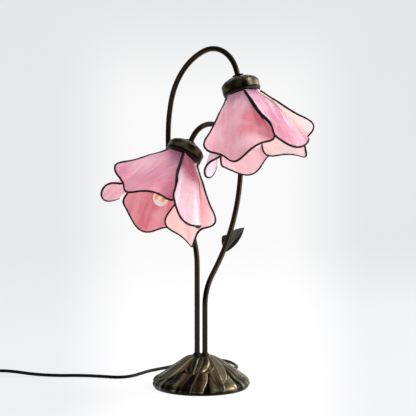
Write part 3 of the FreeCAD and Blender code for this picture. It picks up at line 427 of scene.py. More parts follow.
def eased(points: Sequence[Sequence[float]], step: float) -> list[tuple[float, float]]:
    """A fine smooth line through a few points.

    Args:
        points: corners in mm, the line rounding each by a Catmull-Rom pass.
        step: how far apart the new points are, in mm.
    Returns:
        Points in metres.
    """
    row: list[tuple[float, float]] = []
    count = len(points)
    for index in range(count - 1):
        before = Vector(points[max(index - 1, 0)])
        first, second = Vector(points[index]), Vector(points[index + 1])
        after = Vector(points[min(index + 2, count - 1)])
        pieces = max(1, round((second - first).length / step))
        for part in range(pieces):
            t = part / pieces
            spot = 0.5 * (
                2 * first + (second - before) * t
                + (2 * before - 5 * first + 4 * second - after) * t * t
                + (3 * first - before - 3 * second + after) * t ** 3
            )
            row.append((spot.x * MM, spot.y * MM))
    row.append((points[-1][0] * MM, points[-1][1] * MM))
    return row


def make_piece(
    name: str, mesh: Shape, material: Material, slot: Slot,
    body: Body = Body.LAMP, stands_for: Sequence[str] = (), crease: float = 40.0,
    place: Matrix | None = None,
) -> bpy.types.Object:
    """Turns a bmesh into a riding piece.

    Args:
        name: the piece's name.
        mesh: its shape, freed here.
        material: its finish.
        slot: not used.
        body: what it rides on.
        stands_for: CAD nodes that it hides.
        crease: edges sharper than this many degrees stay sharp.
        place: where the shape goes in the lamp's frame.
    Returns:
        The object.
    """
    if place is not None:
        bmesh.ops.transform(mesh, matrix=place, verts=mesh.verts)
    for face in mesh.faces:
        face.smooth = True
    for edge in mesh.edges:
        if len(edge.link_faces) == 2 and edge.calc_face_angle(0.0) > math.radians(crease):
            edge.smooth = False
    data = bpy.data.meshes.new(name)
    mesh.to_mesh(data)
    mesh.free()
    data.materials.append(material)
    item = bpy.data.objects.new(name, data)
    bpy.context.scene.collection.objects.link(item)
    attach(item, body.value)
    if stands_for:
        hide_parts(*stands_for)
    return item


def dress(node: str, material: Material) -> None:
    """Gives a CAD node its material."""
    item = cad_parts[node]
    item.data.materials.clear()
    item.data.materials.append(material)


def merged_copy(node: str) -> Shape:
    """A CAD node's shape with its loose triangles joined."""
    mesh = bmesh.new()
    mesh.from_mesh(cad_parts[node].data)
    bmesh.ops.remove_doubles(mesh, verts=mesh.verts, dist=2e-6)
    return mesh


def sharp_edges(mesh: Shape) -> list[bmesh.types.BMEdge]:
    """The edges of a shape that turn by more than about 34 degrees."""
    return [edge for edge in mesh.edges if len(edge.link_faces) == 2 and edge.calc_face_angle(0.0) > 0.6]


def softened(node: str, width: float) -> Shape:
    """A CAD node's shape with its sharp edges rounded a little.

    Args:
        node: the CAD node.
        width: how wide the rounding is, in metres.
    Returns:
        The shape.
    """
    mesh = merged_copy(node)
    bmesh.ops.dissolve_limit(
        mesh, angle_limit=math.radians(1.0), verts=mesh.verts, edges=mesh.edges,
        use_dissolve_boundaries=False,
    )
    bmesh.ops.bevel(
        mesh, geom=sharp_edges(mesh), offset=width, affect="EDGES", segments=3, profile=0.5,
        material=-1, clamp_overlap=True,
    )
    bmesh.ops.triangulate(mesh, faces=[face for face in mesh.faces if len(face.verts) > 4])
    return mesh


def applied(item: bpy.types.Object) -> bpy.types.Mesh:
    """An object's mesh with its modifiers worked in."""
    bpy.context.view_layer.update()
    ready = item.evaluated_get(bpy.context.evaluated_depsgraph_get())
    return bpy.data.meshes.new_from_object(ready)


def remeshed(mesh: Shape, cell: float, smooth: int) -> Shape:
    """A shape rebuilt from even small faces.

    Args:
        mesh: the shape, freed here.
        cell: the size of a face in metres.
        smooth: how many times it is softened.
    Returns:
        The new shape.
    """
    data = bpy.data.meshes.new("rough")
    mesh.to_mesh(data)
    mesh.free()
    item = bpy.data.objects.new("rough", data)
    bpy.context.scene.collection.objects.link(item)
    cells = item.modifiers.new("cells", "REMESH")
    cells.mode = "VOXEL"
    cells.voxel_size = cell
    soft = item.modifiers.new("soft", "SMOOTH")
    soft.iterations = smooth
    result = bmesh.new()
    result.from_mesh(applied(item))
    bpy.data.objects.remove(item)
    return result


# ---- studio
@dataclass
class Studio:
    """Camera, floor, backdrop and lamps."""

    lens: float = 112.5
    eye: tuple[float, float, float] = (0.0106, -1.92, 0.408)
    pitch: float = -4.2
    middle: tuple[float, float, float] = (0.0, 0.0, 0.25)
    backdrop: Colour = field(default_factory=lambda: tint(231, 232, 234))
    # painted pool of light: the colour of the backdrop's brighter middle
    painted_light_pool: Colour = field(default_factory=lambda: tint(252, 252, 252))

    def build_camera(self) -> None:
        """Sets the camera at the photograph's angle."""
        data = bpy.data.cameras.new("camera")
        data.lens = self.lens
        data.sensor_width = 36.0
        data.clip_end = 20
        item = bpy.data.objects.new("camera", data)
        item.location = self.eye
        item.rotation_euler = (math.radians(90 + self.pitch), 0, 0)
        bpy.context.scene.collection.objects.link(item)
        bpy.context.scene.camera = item

    def build_floor(self) -> None:
        """Makes the pale floor that sweeps up behind the lamp."""
        mesh = bmesh.new()
        corners = [mesh.verts.new((x, -3.2, 0)) for x in (-4.0, 4.0)]
        edge = mesh.edges.new(corners)
        rows = [(2.2, 0.0)]
        for step in range(1, 13):
            angle = math.radians(7.5 * step)
            rows.append((2.2 + 1.2 * math.sin(angle), 1.2 * (1 - math.cos(angle))))
        rows.append((3.4, 4.5))
        for y, z in rows:
            grown = bmesh.ops.extrude_edge_only(mesh, edges=[edge])["geom"]
            edge = next(part for part in grown if isinstance(part, bmesh.types.BMEdge))
            for spot in edge.verts:
                spot.co.y, spot.co.z = y, z
        bmesh.ops.recalc_face_normals(mesh, faces=mesh.faces)
        for face in mesh.faces:
            face.smooth = True
        data = bpy.data.meshes.new("floor")
        mesh.to_mesh(data)
        mesh.free()
        data.materials.append(self.floor_material())
        item = bpy.data.objects.new("floor", data)
        bpy.context.scene.collection.objects.link(item)

    def floor_material(self) -> Material:
        """Pale paper, lit mostly from within for the camera so that its shadow stays soft, with a painted pool
        of light brighter round the lamp.
        """
        finish = Finish("pale_paper")
        wiring = finish.wiring
        parts = wiring.add("ShaderNodeSeparateXYZ", {"Vector": wiring.place()})
        # Painted pool of light: brighter behind and under the lamp, fading sideways and upward.
        aside = wiring.math("ABSOLUTE", wiring.math("SUBTRACT", parts.outputs["X"], 0.02))
        opening = wiring.math("ADD", wiring.math("MULTIPLY", parts.outputs["Y"], 0.5), 1.0)
        across = wiring.spread(wiring.math("DIVIDE", aside, opening), 0.1, 0.25, 1.0, 0.0)
        painted_glow = wiring.math("MULTIPLY", across, wiring.spread(parts.outputs["Z"], 0.4, 0.9, 1.0, 0.0))
        colour = wiring.blend(painted_glow, self.backdrop, self.painted_light_pool)
        finish.give(Base_Color=tint(150, 150, 152), Roughness=0.9, Specular_IOR_Level=0.1)
        rays = wiring.add("ShaderNodeLightPath")
        seen = wiring.math("MAXIMUM", rays.outputs["Is Camera Ray"], rays.outputs["Is Glossy Ray"])
        seen = wiring.math("MAXIMUM", seen, rays.outputs["Is Transmission Ray"])
        shine = wiring.add("ShaderNodeEmission", {"Color": colour, "Strength": 0.9})
        dim = wiring.add("ShaderNodeBsdfDiffuse", {"Color": tint(104, 104, 105)})
        both = wiring.add("ShaderNodeAddShader", {0: shine.outputs[0], 1: dim.outputs[0]})
        mixed = wiring.add("ShaderNodeMixShader", {0: seen, 1: finish.shader.outputs[0], 2: both.outputs[0]})
        ending = finish.material.node_tree.nodes["Material Output"]
        wiring.feed(ending.inputs["Surface"], mixed.outputs[0])
        return finish.material

    def build_lamp(
        self, name: str, spot: Sequence[float], size: Sequence[float], power: float, mirrored: bool = True,
    ) -> None:
        """Hangs one soft lamp, aimed at the lamp's middle.

        Args:
            name: its name.
            spot: where it hangs.
            size: its width and height in metres.
            power: watts.
            mirrored: whether shiny pieces show it.
        """
        data = bpy.data.lights.new(name, "AREA")
        data.shape = "RECTANGLE"
        data.size, data.size_y = size
        data.energy = power
        item = bpy.data.objects.new(name, data)
        item.location = spot
        item.visible_glossy = mirrored
        item.rotation_euler = (Vector(self.middle) - Vector(spot)).to_track_quat("-Z", "Y").to_euler()
        bpy.context.scene.collection.objects.link(item)

    def build_light(self) -> None:
        """Sets the soft lamps and the pale world."""
        self.build_lamp("right_softbox", (1.5, -0.75, 0.75), (0.6, 1.5), 17.0)
        self.build_lamp("right_strip", (1.25, 0.6, 0.5), (0.7, 1.3), 13.0)
        self.build_lamp("left_softbox", (-1.2, -1.5, 1.0), (0.9, 1.1), 15.0, False)
        self.build_lamp("overhead", (0.3, 0.0, 2.0), (1.2, 1.2), 14.0, False)
        world = bpy.data.worlds.new("studio")
        bpy.context.scene.world = world
        world.use_nodes = True
        wiring = Wiring(world.node_tree)
        sky = world.node_tree.nodes["Background"]
        wiring.feed(sky.inputs["Color"], tint(240, 241, 243))
        way = wiring.add("ShaderNodeSeparateXYZ", {0: wiring.add("ShaderNodeTexCoord").outputs["Generated"]})
        aside = wiring.spread(way.outputs["X"], 0.0, 0.7, 0.1, 1.0)
        above = wiring.spread(way.outputs["Z"], 0.3, 0.9, 0.0, 0.3)
        wiring.feed(sky.inputs["Strength"], wiring.math("ADD", aside, above))

    def build(self) -> None:
        """Builds all of it."""
        bpy.context.scene.view_settings.view_transform = "Standard"
        self.build_camera()
        self.build_floor()
        self.build_light()
        log.info("studio: camera, floor and lamps")


# ---- cord
@dataclass
class MainsCord:
    """The mains cord: gland, free stretch, switch, coil and plug."""

    diameter: float = 5.0
    length: float = 1.887
    rest_height: float = 2.6
    switch_height: float = 8.6
    coil_centre: tuple[float, float] = (-391.6, 18.0)
    coil_radius: float = 35.8
    coil_pitch: float = 5.6
    coil_turns: float = 7.25
    coil_tail: float = 20.0
    steps_per_turn: int = 16
    rounding: dict[str, float] = field(default_factory=lambda: {
        "cord_gland": 0.3, "switch_body": 0.9, "switch_cover": 0.9, "switch_rocker": 0.3,
        "plug_body": 0.6, "plug_blades": 0.3,
    })

    def free_route(self) -> list[tuple[float, float, float]]:
        """The route's points from the gland to the coil, in mm."""
        low, mid = self.rest_height, self.switch_height
        return [
            (40.0, 69.28, 9.0), (54.0, 93.53, 9.0), (57.0, 121.5, 5.0), (55.0, 147.0, low),
            (49.0, 170.0, low), (35.0, 189.0, low), (14.0, 197.0, low), (-8.0, 188.5, low),
            (-28.0, 163.5, low), (-47.0, 137.0, low), (-66.0, 118.0, low), (-84.0, 99.0, low),
            (-96.3, 77.0, low), (-109.5, 57.5, low), (-128.5, 50.5, low), (-151.5, 58.5, low),
            (-185.0, 66.5, low), (-222.0, 64.5, low), (-260.0, 70.5, 3.4), (-297.0, 72.0, mid),
            (-324.0, 72.0, mid), (-384.0, 72.0, mid), (-400.0, 72.0, mid), (-418.0, 63.0, 5.0),
            (-427.4, 41.0, low), (-427.4, 23.0, low),
        ]

    def coil_route(self) -> list[tuple[float, float, float]]:
        """The coil's points from its left-hand start, in mm: in on the floor, out on top."""
        row = []
        count = round(self.coil_turns * self.steps_per_turn)
        swell = 1 / math.cos(math.pi / self.steps_per_turn)
        for step in range(count + 1):
            turns = self.coil_turns * step / count
            angle = math.pi + 2 * math.pi * turns
            past = turns - self.coil_turns / 2
            radius = (self.coil_radius - self.coil_pitch * (self.coil_turns / 2 - abs(past))) * swell
            share = min(max(past / 0.5 + 0.5, 0.0), 1.0)
            x = self.coil_centre[0] + radius * math.cos(angle)
            y = self.coil_centre[1] + radius * math.sin(angle)
            row.append((x, y, self.rest_height + self.coil_pitch * share))
        row.append((row[-1][0] + self.coil_tail, row[-1][1], row[-1][2]))
        return row

    def build_line(self, material: Material) -> None:
        """Lays the cord as one smooth spline."""
        points = self.free_route() + self.coil_route()
        data = bpy.data.curves.new("mains_cord", "CURVE")
        data.dimensions = "3D"
        data.bevel_depth = self.diameter / 2 * MM
        data.bevel_resolution = 5
        data.resolution_u = 8
        data.use_fill_caps = True
        line = data.splines.new("NURBS")
        line.points.add(len(points) - 1)
        for point, spot in zip(line.points, points):
            point.co = (spot[0] * MM, spot[1] * MM, spot[2] * MM, 1.0)
        line.order_u = 3
        line.use_endpoint_u = True
        data.materials.append(material)
        item = bpy.data.objects.new("mains_cord", data)
        bpy.context.scene.collection.objects.link(item)
        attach(item, Body.LAMP.value)
        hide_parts("cord_free", "cord_link", "cord_coil")
        tuple(part * MM for part in points[0])
        [
                node + "_moulded" for node in self.rounding if node.startswith(("switch", "plug"))
            ]

    def build(self, rubber: Material, plastic: Material, brass: Material) -> None:
        """Makes what sits on the cord, then lays it."""
        for node, width in self.rounding.items():
            body = Body.ROCKER if node == "switch_rocker" else Body.LAMP
            finish, slot = (brass, Slot.CONTACT) if node == "plug_blades" else (plastic, Slot.PLASTIC)
            name = node + "_moulded"
            make_piece(name, softened(node, width * MM), finish, slot, body, stands_for=[node], crease=30.0)
        self.build_line(rubber)
        log.info("cord: %.3f m with its switch and plug", self.length)


# ---- base
@dataclass(frozen=True)
class CastLeaf:
    """One leaf in relief on a round form, laid out on its plan in mm and degrees."""

    heading: float
    start: float
    tip: float
    half_width: float
    sweep: float
    rise: float
    vein: float
    pleats: float
    fan: float

    def height(self, radius: float, angle: float) -> float:
        """Height of the leaf over a point of the plan.

        Args:
            radius: the point's distance from the middle, in mm.
            angle: its direction, in radians.
        Returns:
            The height in mm, or 0 off the leaf.
        """
        away = (angle - math.radians(self.heading) + math.pi) % (2 * math.pi) - math.pi
        if abs(away) > 1.4:
            return 0.0
        along = (radius * math.cos(away) - self.start) / (self.tip - self.start)
        if not -0.3 <= along <= 1.0:
            return 0.0
        clipped = max(along, 0.0)
        across = radius * math.sin(away) + self.sweep * clipped ** 1.6
        width = self.half_width * (0.36 + 2.3 * clipped * (1 - clipped) ** 0.8)
        width *= 1 - ease(0.86, 1.01, along)
        share = across / max(width, 0.05)
        pleat = 0.5 - 0.5 * math.cos(2 * math.pi * (self.pleats * abs(share) - self.fan * along))
        share /= 0.94 + 0.09 * pleat
        if abs(share) >= 1.0:
            return 0.0
        edge = 1 - ease(0.86, 1.0, abs(share))
        swell = 0.7 + 0.3 * (1 - share ** 2) + 0.3 * share
        rib = math.exp(-(across / 1.2) ** 2) * ease(-0.2, 0.1, along)
        margin = ease(0.08, 0.35, abs(share)) * ease(-0.1, 0.25, along)
        height = self.rise * swell + self.vein * (0.8 * rib + pleat ** 1.6 * margin - 0.3)
        return max(height, 0.12) * edge


def leaf_relief(leaves: Sequence[CastLeaf], spot: Vector) -> float:
    """The highest leaf's height over a point of the plan, in mm."""
    radius, angle = spot.xy.length / MM, math.atan2(spot.y, spot.x)
    return max(leaf.height(radius, angle) for leaf in leaves)


UPPER_LEAVES = (
    CastLeaf(-100, 4, 49, 27, 3, 2.0, 1.7, 2.6, 0.0),
    CastLeaf(-44, 9, 64, 17, 20, 2.4, 0.9, 1.0, 0.5),
    CastLeaf(-8, 9, 66, 20, -12, 2.0, 1.3, 1.6, 0.9),
    CastLeaf(38, 8, 60, 21, 12, 2.2, 1.4, 2.2, 0.2),
    CastLeaf(84, 9, 67, 20, -10, 2.0, 1.3, 1.4, 0.9),
    CastLeaf(128, 8, 58, 22, 11, 2.2, 1.4, 2.3, 0.2),
    CastLeaf(172, 9, 66, 20, -12, 2.0, 1.3, 1.5, 0.9),
    CastLeaf(-146, 8, 67, 22, 14, 2.1, 1.3, 1.4, 0.8),
)
LOWER_LEAVES = (
    CastLeaf(-128, 28, 92, 22, 20, 1.5, 1.2, 1.1, 0.6),
    CastLeaf(-92, 30, 92, 20, 24, 1.8, 1.3, 1.2, 0.9),
    CastLeaf(-58, 34, 100, 24, 12, 2.0, 1.0, 0.9, 0.3),
    CastLeaf(-22, 34, 96, 21, -14, 1.6, 1.4, 1.3, 0.8),
    CastLeaf(14, 32, 92, 21, 16, 1.8, 1.2, 1.2, 0.4),
    CastLeaf(52, 34, 94, 20, -14, 1.6, 1.3, 1.1, 0.8),
    CastLeaf(90, 32, 92, 21, 15, 1.8, 1.2, 1.3, 0.3),
    CastLeaf(126, 34, 94, 20, -12, 1.6, 1.3, 1.2, 0.7),
    CastLeaf(162, 32, 92, 21, 17, 1.8, 1.2, 1.1, 0.5),
    CastLeaf(-162, 34, 94, 20, -15, 1.6, 1.3, 1.2, 0.8),
)


@dataclass
class LampBase:
    """The cast foot with its leaves, and what closes it underneath."""

    foot: float = 71.5
    height: float = 46.8
    steps: int = 520
    sink: float = 2.6
    collar_rounding: float = 0.00018
    stems: tuple[float, float] = (-5.6, 6.0)

    def outline(self) -> list[tuple[float, float]]:
        """The dome's half section from the felt up to the crown and back under the wall."""
        dome = [
            (self.foot, 5.5), (70.4, 8.6), (68.6, 11.6), (66.4, 13.8), (64.0, 15.6), (58.0, 20.4),
            (50.0, 26.6), (42.0, 32.0), (34.0, 37.2), (26.0, 42.0), (20.0, 45.0),
            (14.0, 46.7), (7.0, 47.1), (0.02, 47.2),
        ]
        lip = [
            (self.foot * MM - 0.0045, 0.0016), ((self.foot - 0.6) * MM, 0.0016), (self.foot * MM, 0.0022),
        ]
        return lip + eased(dome, 0.75)

    def build_casting(self, material: Material) -> None:
        """Casts the leafy dome."""
        mesh = spun(self.outline(), self.steps)
        relief = mesh.verts.layers.float.new("relief")
        mesh.normal_update()
        normals = [spot.normal.copy() for spot in mesh.verts]
        for spot, normal in zip(mesh.verts, normals):
            if spot.co.z < 0.0024:
                continue
            low = ease(0.002, 0.007, spot.co.z)
            top = leaf_relief(UPPER_LEAVES, spot.co)
            rise = top if top > 0.3 else max(top, leaf_relief(LOWER_LEAVES, spot.co))
            lump = noise.noise(spot.co * 60.0) * 0.4 + noise.noise(spot.co * 190.0) * 0.12
            sink = self.sink * ease(0.006, 0.02, spot.co.z)
            grow = (rise + lump - sink) * low
            for offset in self.stems:
                near = (spot.co.xy - Vector((offset * MM, 0))).length / MM
                grow = grow * ease(5.5, 10.0, near)
            spot[relief] = min(max(rise - 0.4, 0.0) / 3.2, 1.0)
            spot.co += normal * grow * MM
        make_piece("leaf_casting", mesh, material, Slot.BRONZE, stands_for=["base_casting"], crease=50.0)

    def build_bushing(self, name: str, offset: float, material: Material) -> None:
        """Turns the small stepped collar round one stem's foot."""
        top = self.height
        outline = [
            (4.15, top - 1.5), (6.9, top - 1.5), (6.9, top + 1.2), (6.2, top + 2.0), (5.6, top + 2.2),
            (5.4, top + 3.4), (4.9, top + 3.9), (4.15, top + 3.9), (4.15, top - 1.5),
        ]
        mesh = spun([(x * MM, z * MM) for x, z in outline], 64)
        bmesh.ops.bevel(
            mesh, geom=sharp_edges(mesh), offset=self.collar_rounding, affect="EDGES", segments=2,
            profile=0.5, material=-1,
        )
        make_piece(name, mesh, material, Slot.BRONZE, place=Matrix.Translation((offset * MM, 0, 0)))

    def build(self, bronze: Material, tube: Material, others: dict[str, Material]) -> None:
        """Builds the foot."""
        self.build_casting(bronze)
        self.build_bushing("tall_stem_bushing", self.stems[0], tube)
        self.build_bushing("short_stem_bushing", self.stems[1], tube)
        dress("base_weight", others["ballast"])
        dress("base_plate", others["zinc"])
        dress("base_felt", others["felt"])
        for node in ("plate_screws", "stem_clamp", "stem_nuts"):
            dress(node, others["zinc"])
        log.info("base: leaf casting and bushings")


# ---- stems and leaf
@dataclass
class Stems:
    """The two bent tubes and the leaf between them."""

    outer_width: float = 0.45
    inner_swell: float = 0.5
    ripple: float = 0.27
    ripple_turns: float = 1400.0

    def slimmed(self, mesh: Shape) -> Shape:
        """Narrows the leaf's outer half, as the photograph shows it.

        Args:
            mesh: the leaf, changed in place.
        Returns:
            The same leaf.
        """
        foot = min(mesh.verts, key=lambda spot: spot.co.z + spot.co.x).co.copy()
        tip = max(mesh.verts, key=lambda spot: spot.co.z + spot.co.x).co.copy()
        way = Vector((tip.x - foot.x, 0, tip.z - foot.z)).normalized()
        side = Vector((way.z, 0, -way.x))
        for spot in mesh.verts:
            out = (spot.co - foot).dot(side)
            along = (spot.co - foot).dot(way)
            if out > 0:
                spot.co -= side * out * (1 - self.outer_width)
            else:
                middle = ease(0.004, 0.012, along) * ease(0.028, 0.018, along)
                spot.co += side * out * self.inner_swell * middle
            wave = math.sin((spot.co - foot).dot(side) * self.ripple_turns)
            spot.co.y += wave * self.ripple * MM * ease(0.0, 0.006, along)
        return mesh

    def build(self, tube: Material, leaf: Material) -> None:
        """Dresses them."""
        for node in ("tall_stem", "short_stem"):
            mesh = merged_copy(node)
            make_piece("%s_plated" % node, mesh, tube, Slot.TUBE, stands_for=[node], crease=35.0)
        blade = self.slimmed(merged_copy("stem_leaf"))
        make_piece("veined_leaf", blade, leaf, Slot.BRONZE, stands_for=["stem_leaf"], crease=35.0)
        log.info("stems: two tubes and a leaf")


# ---- shades
@dataclass
class PetalForm:
    """How a petal hangs in its shade."""

    count: int = 5
    lean: float = 29.0
    circle: float = 24.0

    def place(self, turn: float) -> Matrix:
        """A petal's frame in its shade's.

        Args:
            turn: its azimuth in degrees.
        Returns:
            The frame: x across, y down the glass, z out of its face.
        """
        lean = math.radians(self.lean)
        way = math.radians(turn)
        out = Vector((math.cos(way), math.sin(way), 0))
        side = Vector((math.sin(way), -math.cos(way), 0))
        up = Vector((0, 0, 1))
        down = out * math.sin(lean) - up * math.cos(lean)
        face = out * math.cos(lean) + up * math.sin(lean)
        matrix = Matrix.Identity(4)
        for column, axis in enumerate((side, down, face, out * self.circle * MM)):
            for row in range(3):
                matrix[row][column] = axis[row]
        return matrix


@dataclass
class Shade:
    """One flower shade: cap, socket, bulb, petals and their lead."""

    name: str
    rim: tuple[float, float, float]
    heading: float
    lean: float
    spin: float
    glasses: tuple[OpalGlass, ...]
    form: PetalForm = field(default_factory=PetalForm)
    cap_radius: float = 27.3
    band: float = 12.0
    cap_height: float = 24.5
    neck_draw: float = 0.2
    bead_swell: float = 0.4
    seam_swell: float = 0.75
    bead_cell: float = 0.00062
    lumps: tuple[float, float] = (160.0, 420.0)
    plain_pieces: dict[str, str] = field(default_factory=lambda: {
        "cap_nut": "zinc", "socket": "plastic", "socket_shell": "brass", "contact": "brass",
        "ring_nut": "plastic", "neck_ring": "lead", "bulb_base": "brass", "filament": "filament",
    })

    def place(self) -> Matrix:
        """The shade's frame: its origin at the rim's middle, z up through the cap."""
        turn = Matrix.Rotation(math.radians(self.heading), 4, "Z")
        tilt = Matrix.Rotation(math.radians(-self.lean), 4, "Y")
        return Matrix.Translation(Vector(self.rim) * MM) @ turn @ tilt

    def tuck(self, mesh: Shape) -> None:
        """Draws a petal's neck in so that its corners stay under the cap."""
        place = self.place()
        back = place.inverted()
        for spot in mesh.verts:
            near = back @ spot.co
            draw = 1 - self.neck_draw * ease(-0.03, -0.004, near.z)
            near.x *= draw
            near.y *= draw
            spot.co = place @ near

    def build_petals(self) -> None:
        """Dresses each petal in its own streaked glass."""
        for index, glass in enumerate(self.glasses):
            turn = self.spin + 360.0 * index / self.form.count
            material = glass.build(self.place() @ self.form.place(turn))
            node = "%s_petal_%d" % (self.name, index + 1)
            mesh = merged_copy(node)
            self.tuck(mesh)
            make_piece("%s_glass" % node, mesh, material, Slot.GLASS, stands_for=[node], crease=35.0)

    def build_lead(self, lead: Material) -> None:
        """Runs a hand-soldered bead round each petal."""
        for index in range(self.form.count):
            node = "%s_came_%d" % (self.name, index + 1)
            mesh = remeshed(merged_copy(node), self.bead_cell, 3)
            self.tuck(mesh)
            mesh.normal_update()
            back = (self.place() @ self.form.place(self.spin + 360.0 * index / self.form.count)).inverted()
            for spot in mesh.verts:
                lump = noise.noise(spot.co * self.lumps[0]) * 0.22 + noise.noise(spot.co * self.lumps[1]) * 0.08
                near = back @ spot.co
                side = (-near.x, near.x)[index] if index < 2 else 0.0
                seam = ease(0.008, 0.016, side) * ease(0.095, 0.075, near.y)
                spot.co += spot.normal * (lump + self.bead_swell + self.seam_swell * seam) * MM
            make_piece("%s_bead" % node, mesh, lead, Slot.LEAD, stands_for=[node], crease=80.0)

    def build_cap(self, bronze: Material) -> None:
        """Turns the cap with its band, leafy dome and flared collar."""
        edge = self.cap_radius
        step = edge - 1.6
        dome = [
            (step, self.band + 0.8), (24.2, 14.6), (21.0, 16.9), (17.0, 18.9), (12.8, 20.2),
            (9.4, 20.9), (7.6, 21.5), (7.3, 22.6), (8.4, 24.3),
        ]
        outline = [((edge - 1.3) * MM, 0.0), ((edge - 0.3) * MM, 0.0), (edge * MM, 0.0004)]
        outline += [(edge * MM, part * MM) for part in (2.0, 4.0, 6.0, 8.0, 10.0, 11.5)]
        outline += [((edge - 0.5) * MM, self.band * MM)] + eased(dome, 0.5)
        outline += [(0.0079, 0.0245), (0.0044, 0.0245), (0.0044, 0.021)]
        mesh = spun(outline, 216)
        relief = mesh.verts.layers.float.new("relief")
        mesh.normal_update()
        ring = [CastLeaf(10 + 30 * part, 7, 28, 6.6, 3, 0.3, 0.8, 0.6, 0) for part in range(12)]
        normals = [spot.normal.copy() for spot in mesh.verts]
        for spot, normal in zip(mesh.verts, normals):
            height = spot.co.z / MM
            if self.band + 0.6 < height < self.cap_height - 2.6:
                rise = leaf_relief(ring, spot.co)
                spot[relief] = min(rise / 1.0, 1.0)
                spot.co += normal * (rise - 0.25) * MM
            elif 0.5 < height < self.band:
                spot[relief] = 0.35 + 0.4 * noise.noise(spot.co * 90)
                spot.co += normal * noise.noise(spot.co * 120) * 0.15 * MM
        node = "%s_cap" % self.name
        make_piece(
            "%s_leafy" % node, mesh, bronze, Slot.BRONZE, stands_for=[node], place=self.place(), crease=45.0,
        )

    def build(self, finishes: dict[str, Material]) -> None:
        """Builds the shade."""
        self.build_cap(finishes["bronze"])
        self.build_petals()
        self.build_lead(finishes["lead"])
        for piece, finish in self.plain_pieces.items():
            dress("%s_%s" % (self.name, piece), finishes[finish])
        dress("%s_bulb_glass" % self.name, build_bulb(self.place()))
        log.info("%s shade: cap, %d petals and their lead", self.name, self.form.count)


# ---- finishes
def build_rubber() -> Material:
    """The cord's black jacket, faintly mottled."""
    finish = Finish("black_jacket")
    wiring = finish.wiring
    spot = wiring.place()
    cloud = wiring.grain(spot, 90.0, 3.0)
    fine = wiring.grain(spot, 1400.0, 2.0)
    return finish.give(
        Base_Color=wiring.blend(cloud, tint(3, 3, 4), tint(10, 10, 11)),
        Roughness=wiring.spread(cloud, 0.3, 0.7, 0.36, 0.5),
        Specular_IOR_Level=0.1,
        Normal=wiring.bump(fine, 0.12, 0.0003),
    )


def build_plastic() -> Material:
    """Moulded black plastic with a fine spark grain."""
    finish = Finish("moulded_black")
    wiring = finish.wiring
    spot = wiring.place()
    cloud = wiring.grain(spot, 60.0, 3.0)
    spark = wiring.grain(spot, 2200.0, 2.0, 0.6)
    return finish.give(
        Base_Color=wiring.blend(cloud, tint(20, 20, 21), tint(36, 35, 36)),
        Roughness=wiring.spread(spark, 0.35, 0.65, 0.36, 0.5),
        Normal=wiring.bump(spark, 0.2, 0.00025),
    )


def build_felt() -> Material:
    """Dark green-black felt with short fibres."""
    finish = Finish("base_felt_cloth")
    wiring = finish.wiring
    spot = wiring.place()
    fibre = wiring.grain(spot, 1800.0, 4.0, 0.7, 1.5)
    return finish.give(
        Base_Color=wiring.blend(fibre, tint(18, 20, 19), tint(52, 55, 52)),
        Roughness=0.95,
        Sheen_Weight=0.4,
        Normal=wiring.bump(fibre, 0.6, 0.0006),
    )


def build_bulb(place: Matrix) -> Material:
    """Milky glass with a frosted end, its amber strips showing through above it, and a faint painted glow
    though the bulb is unlit.

    Args:
        place: the shade's frame, with the bulb's axis along its z.
    Returns:
        The material.
    """
    finish = Finish("milky_glass")
    wiring = finish.wiring
    spot = wiring.place(place)
    cloud = wiring.grain(spot, 60.0, 3.0)
    frost = wiring.grain(spot, 700.0, 3.0, 0.6)
    parts = wiring.add("ShaderNodeSeparateXYZ", {"Vector": spot})
    turn = wiring.math("ARCTAN2", parts.outputs["Y"], parts.outputs["X"])
    stripe = wiring.math("SINE", wiring.math("MULTIPLY", turn, BULB_STRIPS))
    above = wiring.math("ADD", parts.outputs["Z"], wiring.math("MULTIPLY", cloud, 0.004))
    mask = wiring.math("MULTIPLY", wiring.spread(stripe, -0.2, 0.3), wiring.spread(above, -0.079, -0.077))
    milk = wiring.blend(frost, tint(226, 214, 208), tint(252, 246, 242))
    amber = wiring.blend(cloud, tint(232, 120, 60), tint(250, 196, 96))
    colour = wiring.blend(wiring.math("MULTIPLY", mask, 0.85), milk, amber)
    return finish.give(
        Base_Color=colour,
        Roughness=0.24,
        Transmission_Weight=0.25,
        IOR=1.45,
        # Painted glow: the unlit bulb emits its own colour faintly.
        Emission_Color=colour,
        Emission_Strength=0.3,
        Normal=wiring.bump(frost, 0.25, 0.0004),
    )


def build_filament() -> Material:
    """The bulb's amber strips, with a faint painted glow."""
    finish = Finish("amber_strip")
    wiring = finish.wiring
    cloud = wiring.grain(wiring.place(), 300.0, 2.0)
    amber = wiring.blend(cloud, tint(236, 148, 40), tint(250, 190, 70))
    # Painted glow: the unlit strips emit their own amber faintly.
    return finish.give(Base_Color=amber, Roughness=0.45, Emission_Color=amber, Emission_Strength=0.12)


BULB_STRIPS = 6.0

LILAC = tint(190, 134, 162)
ROSE = tint(224, 122, 138)
MILK = tint(245, 216, 225)
WISP = tint(250, 238, 242)
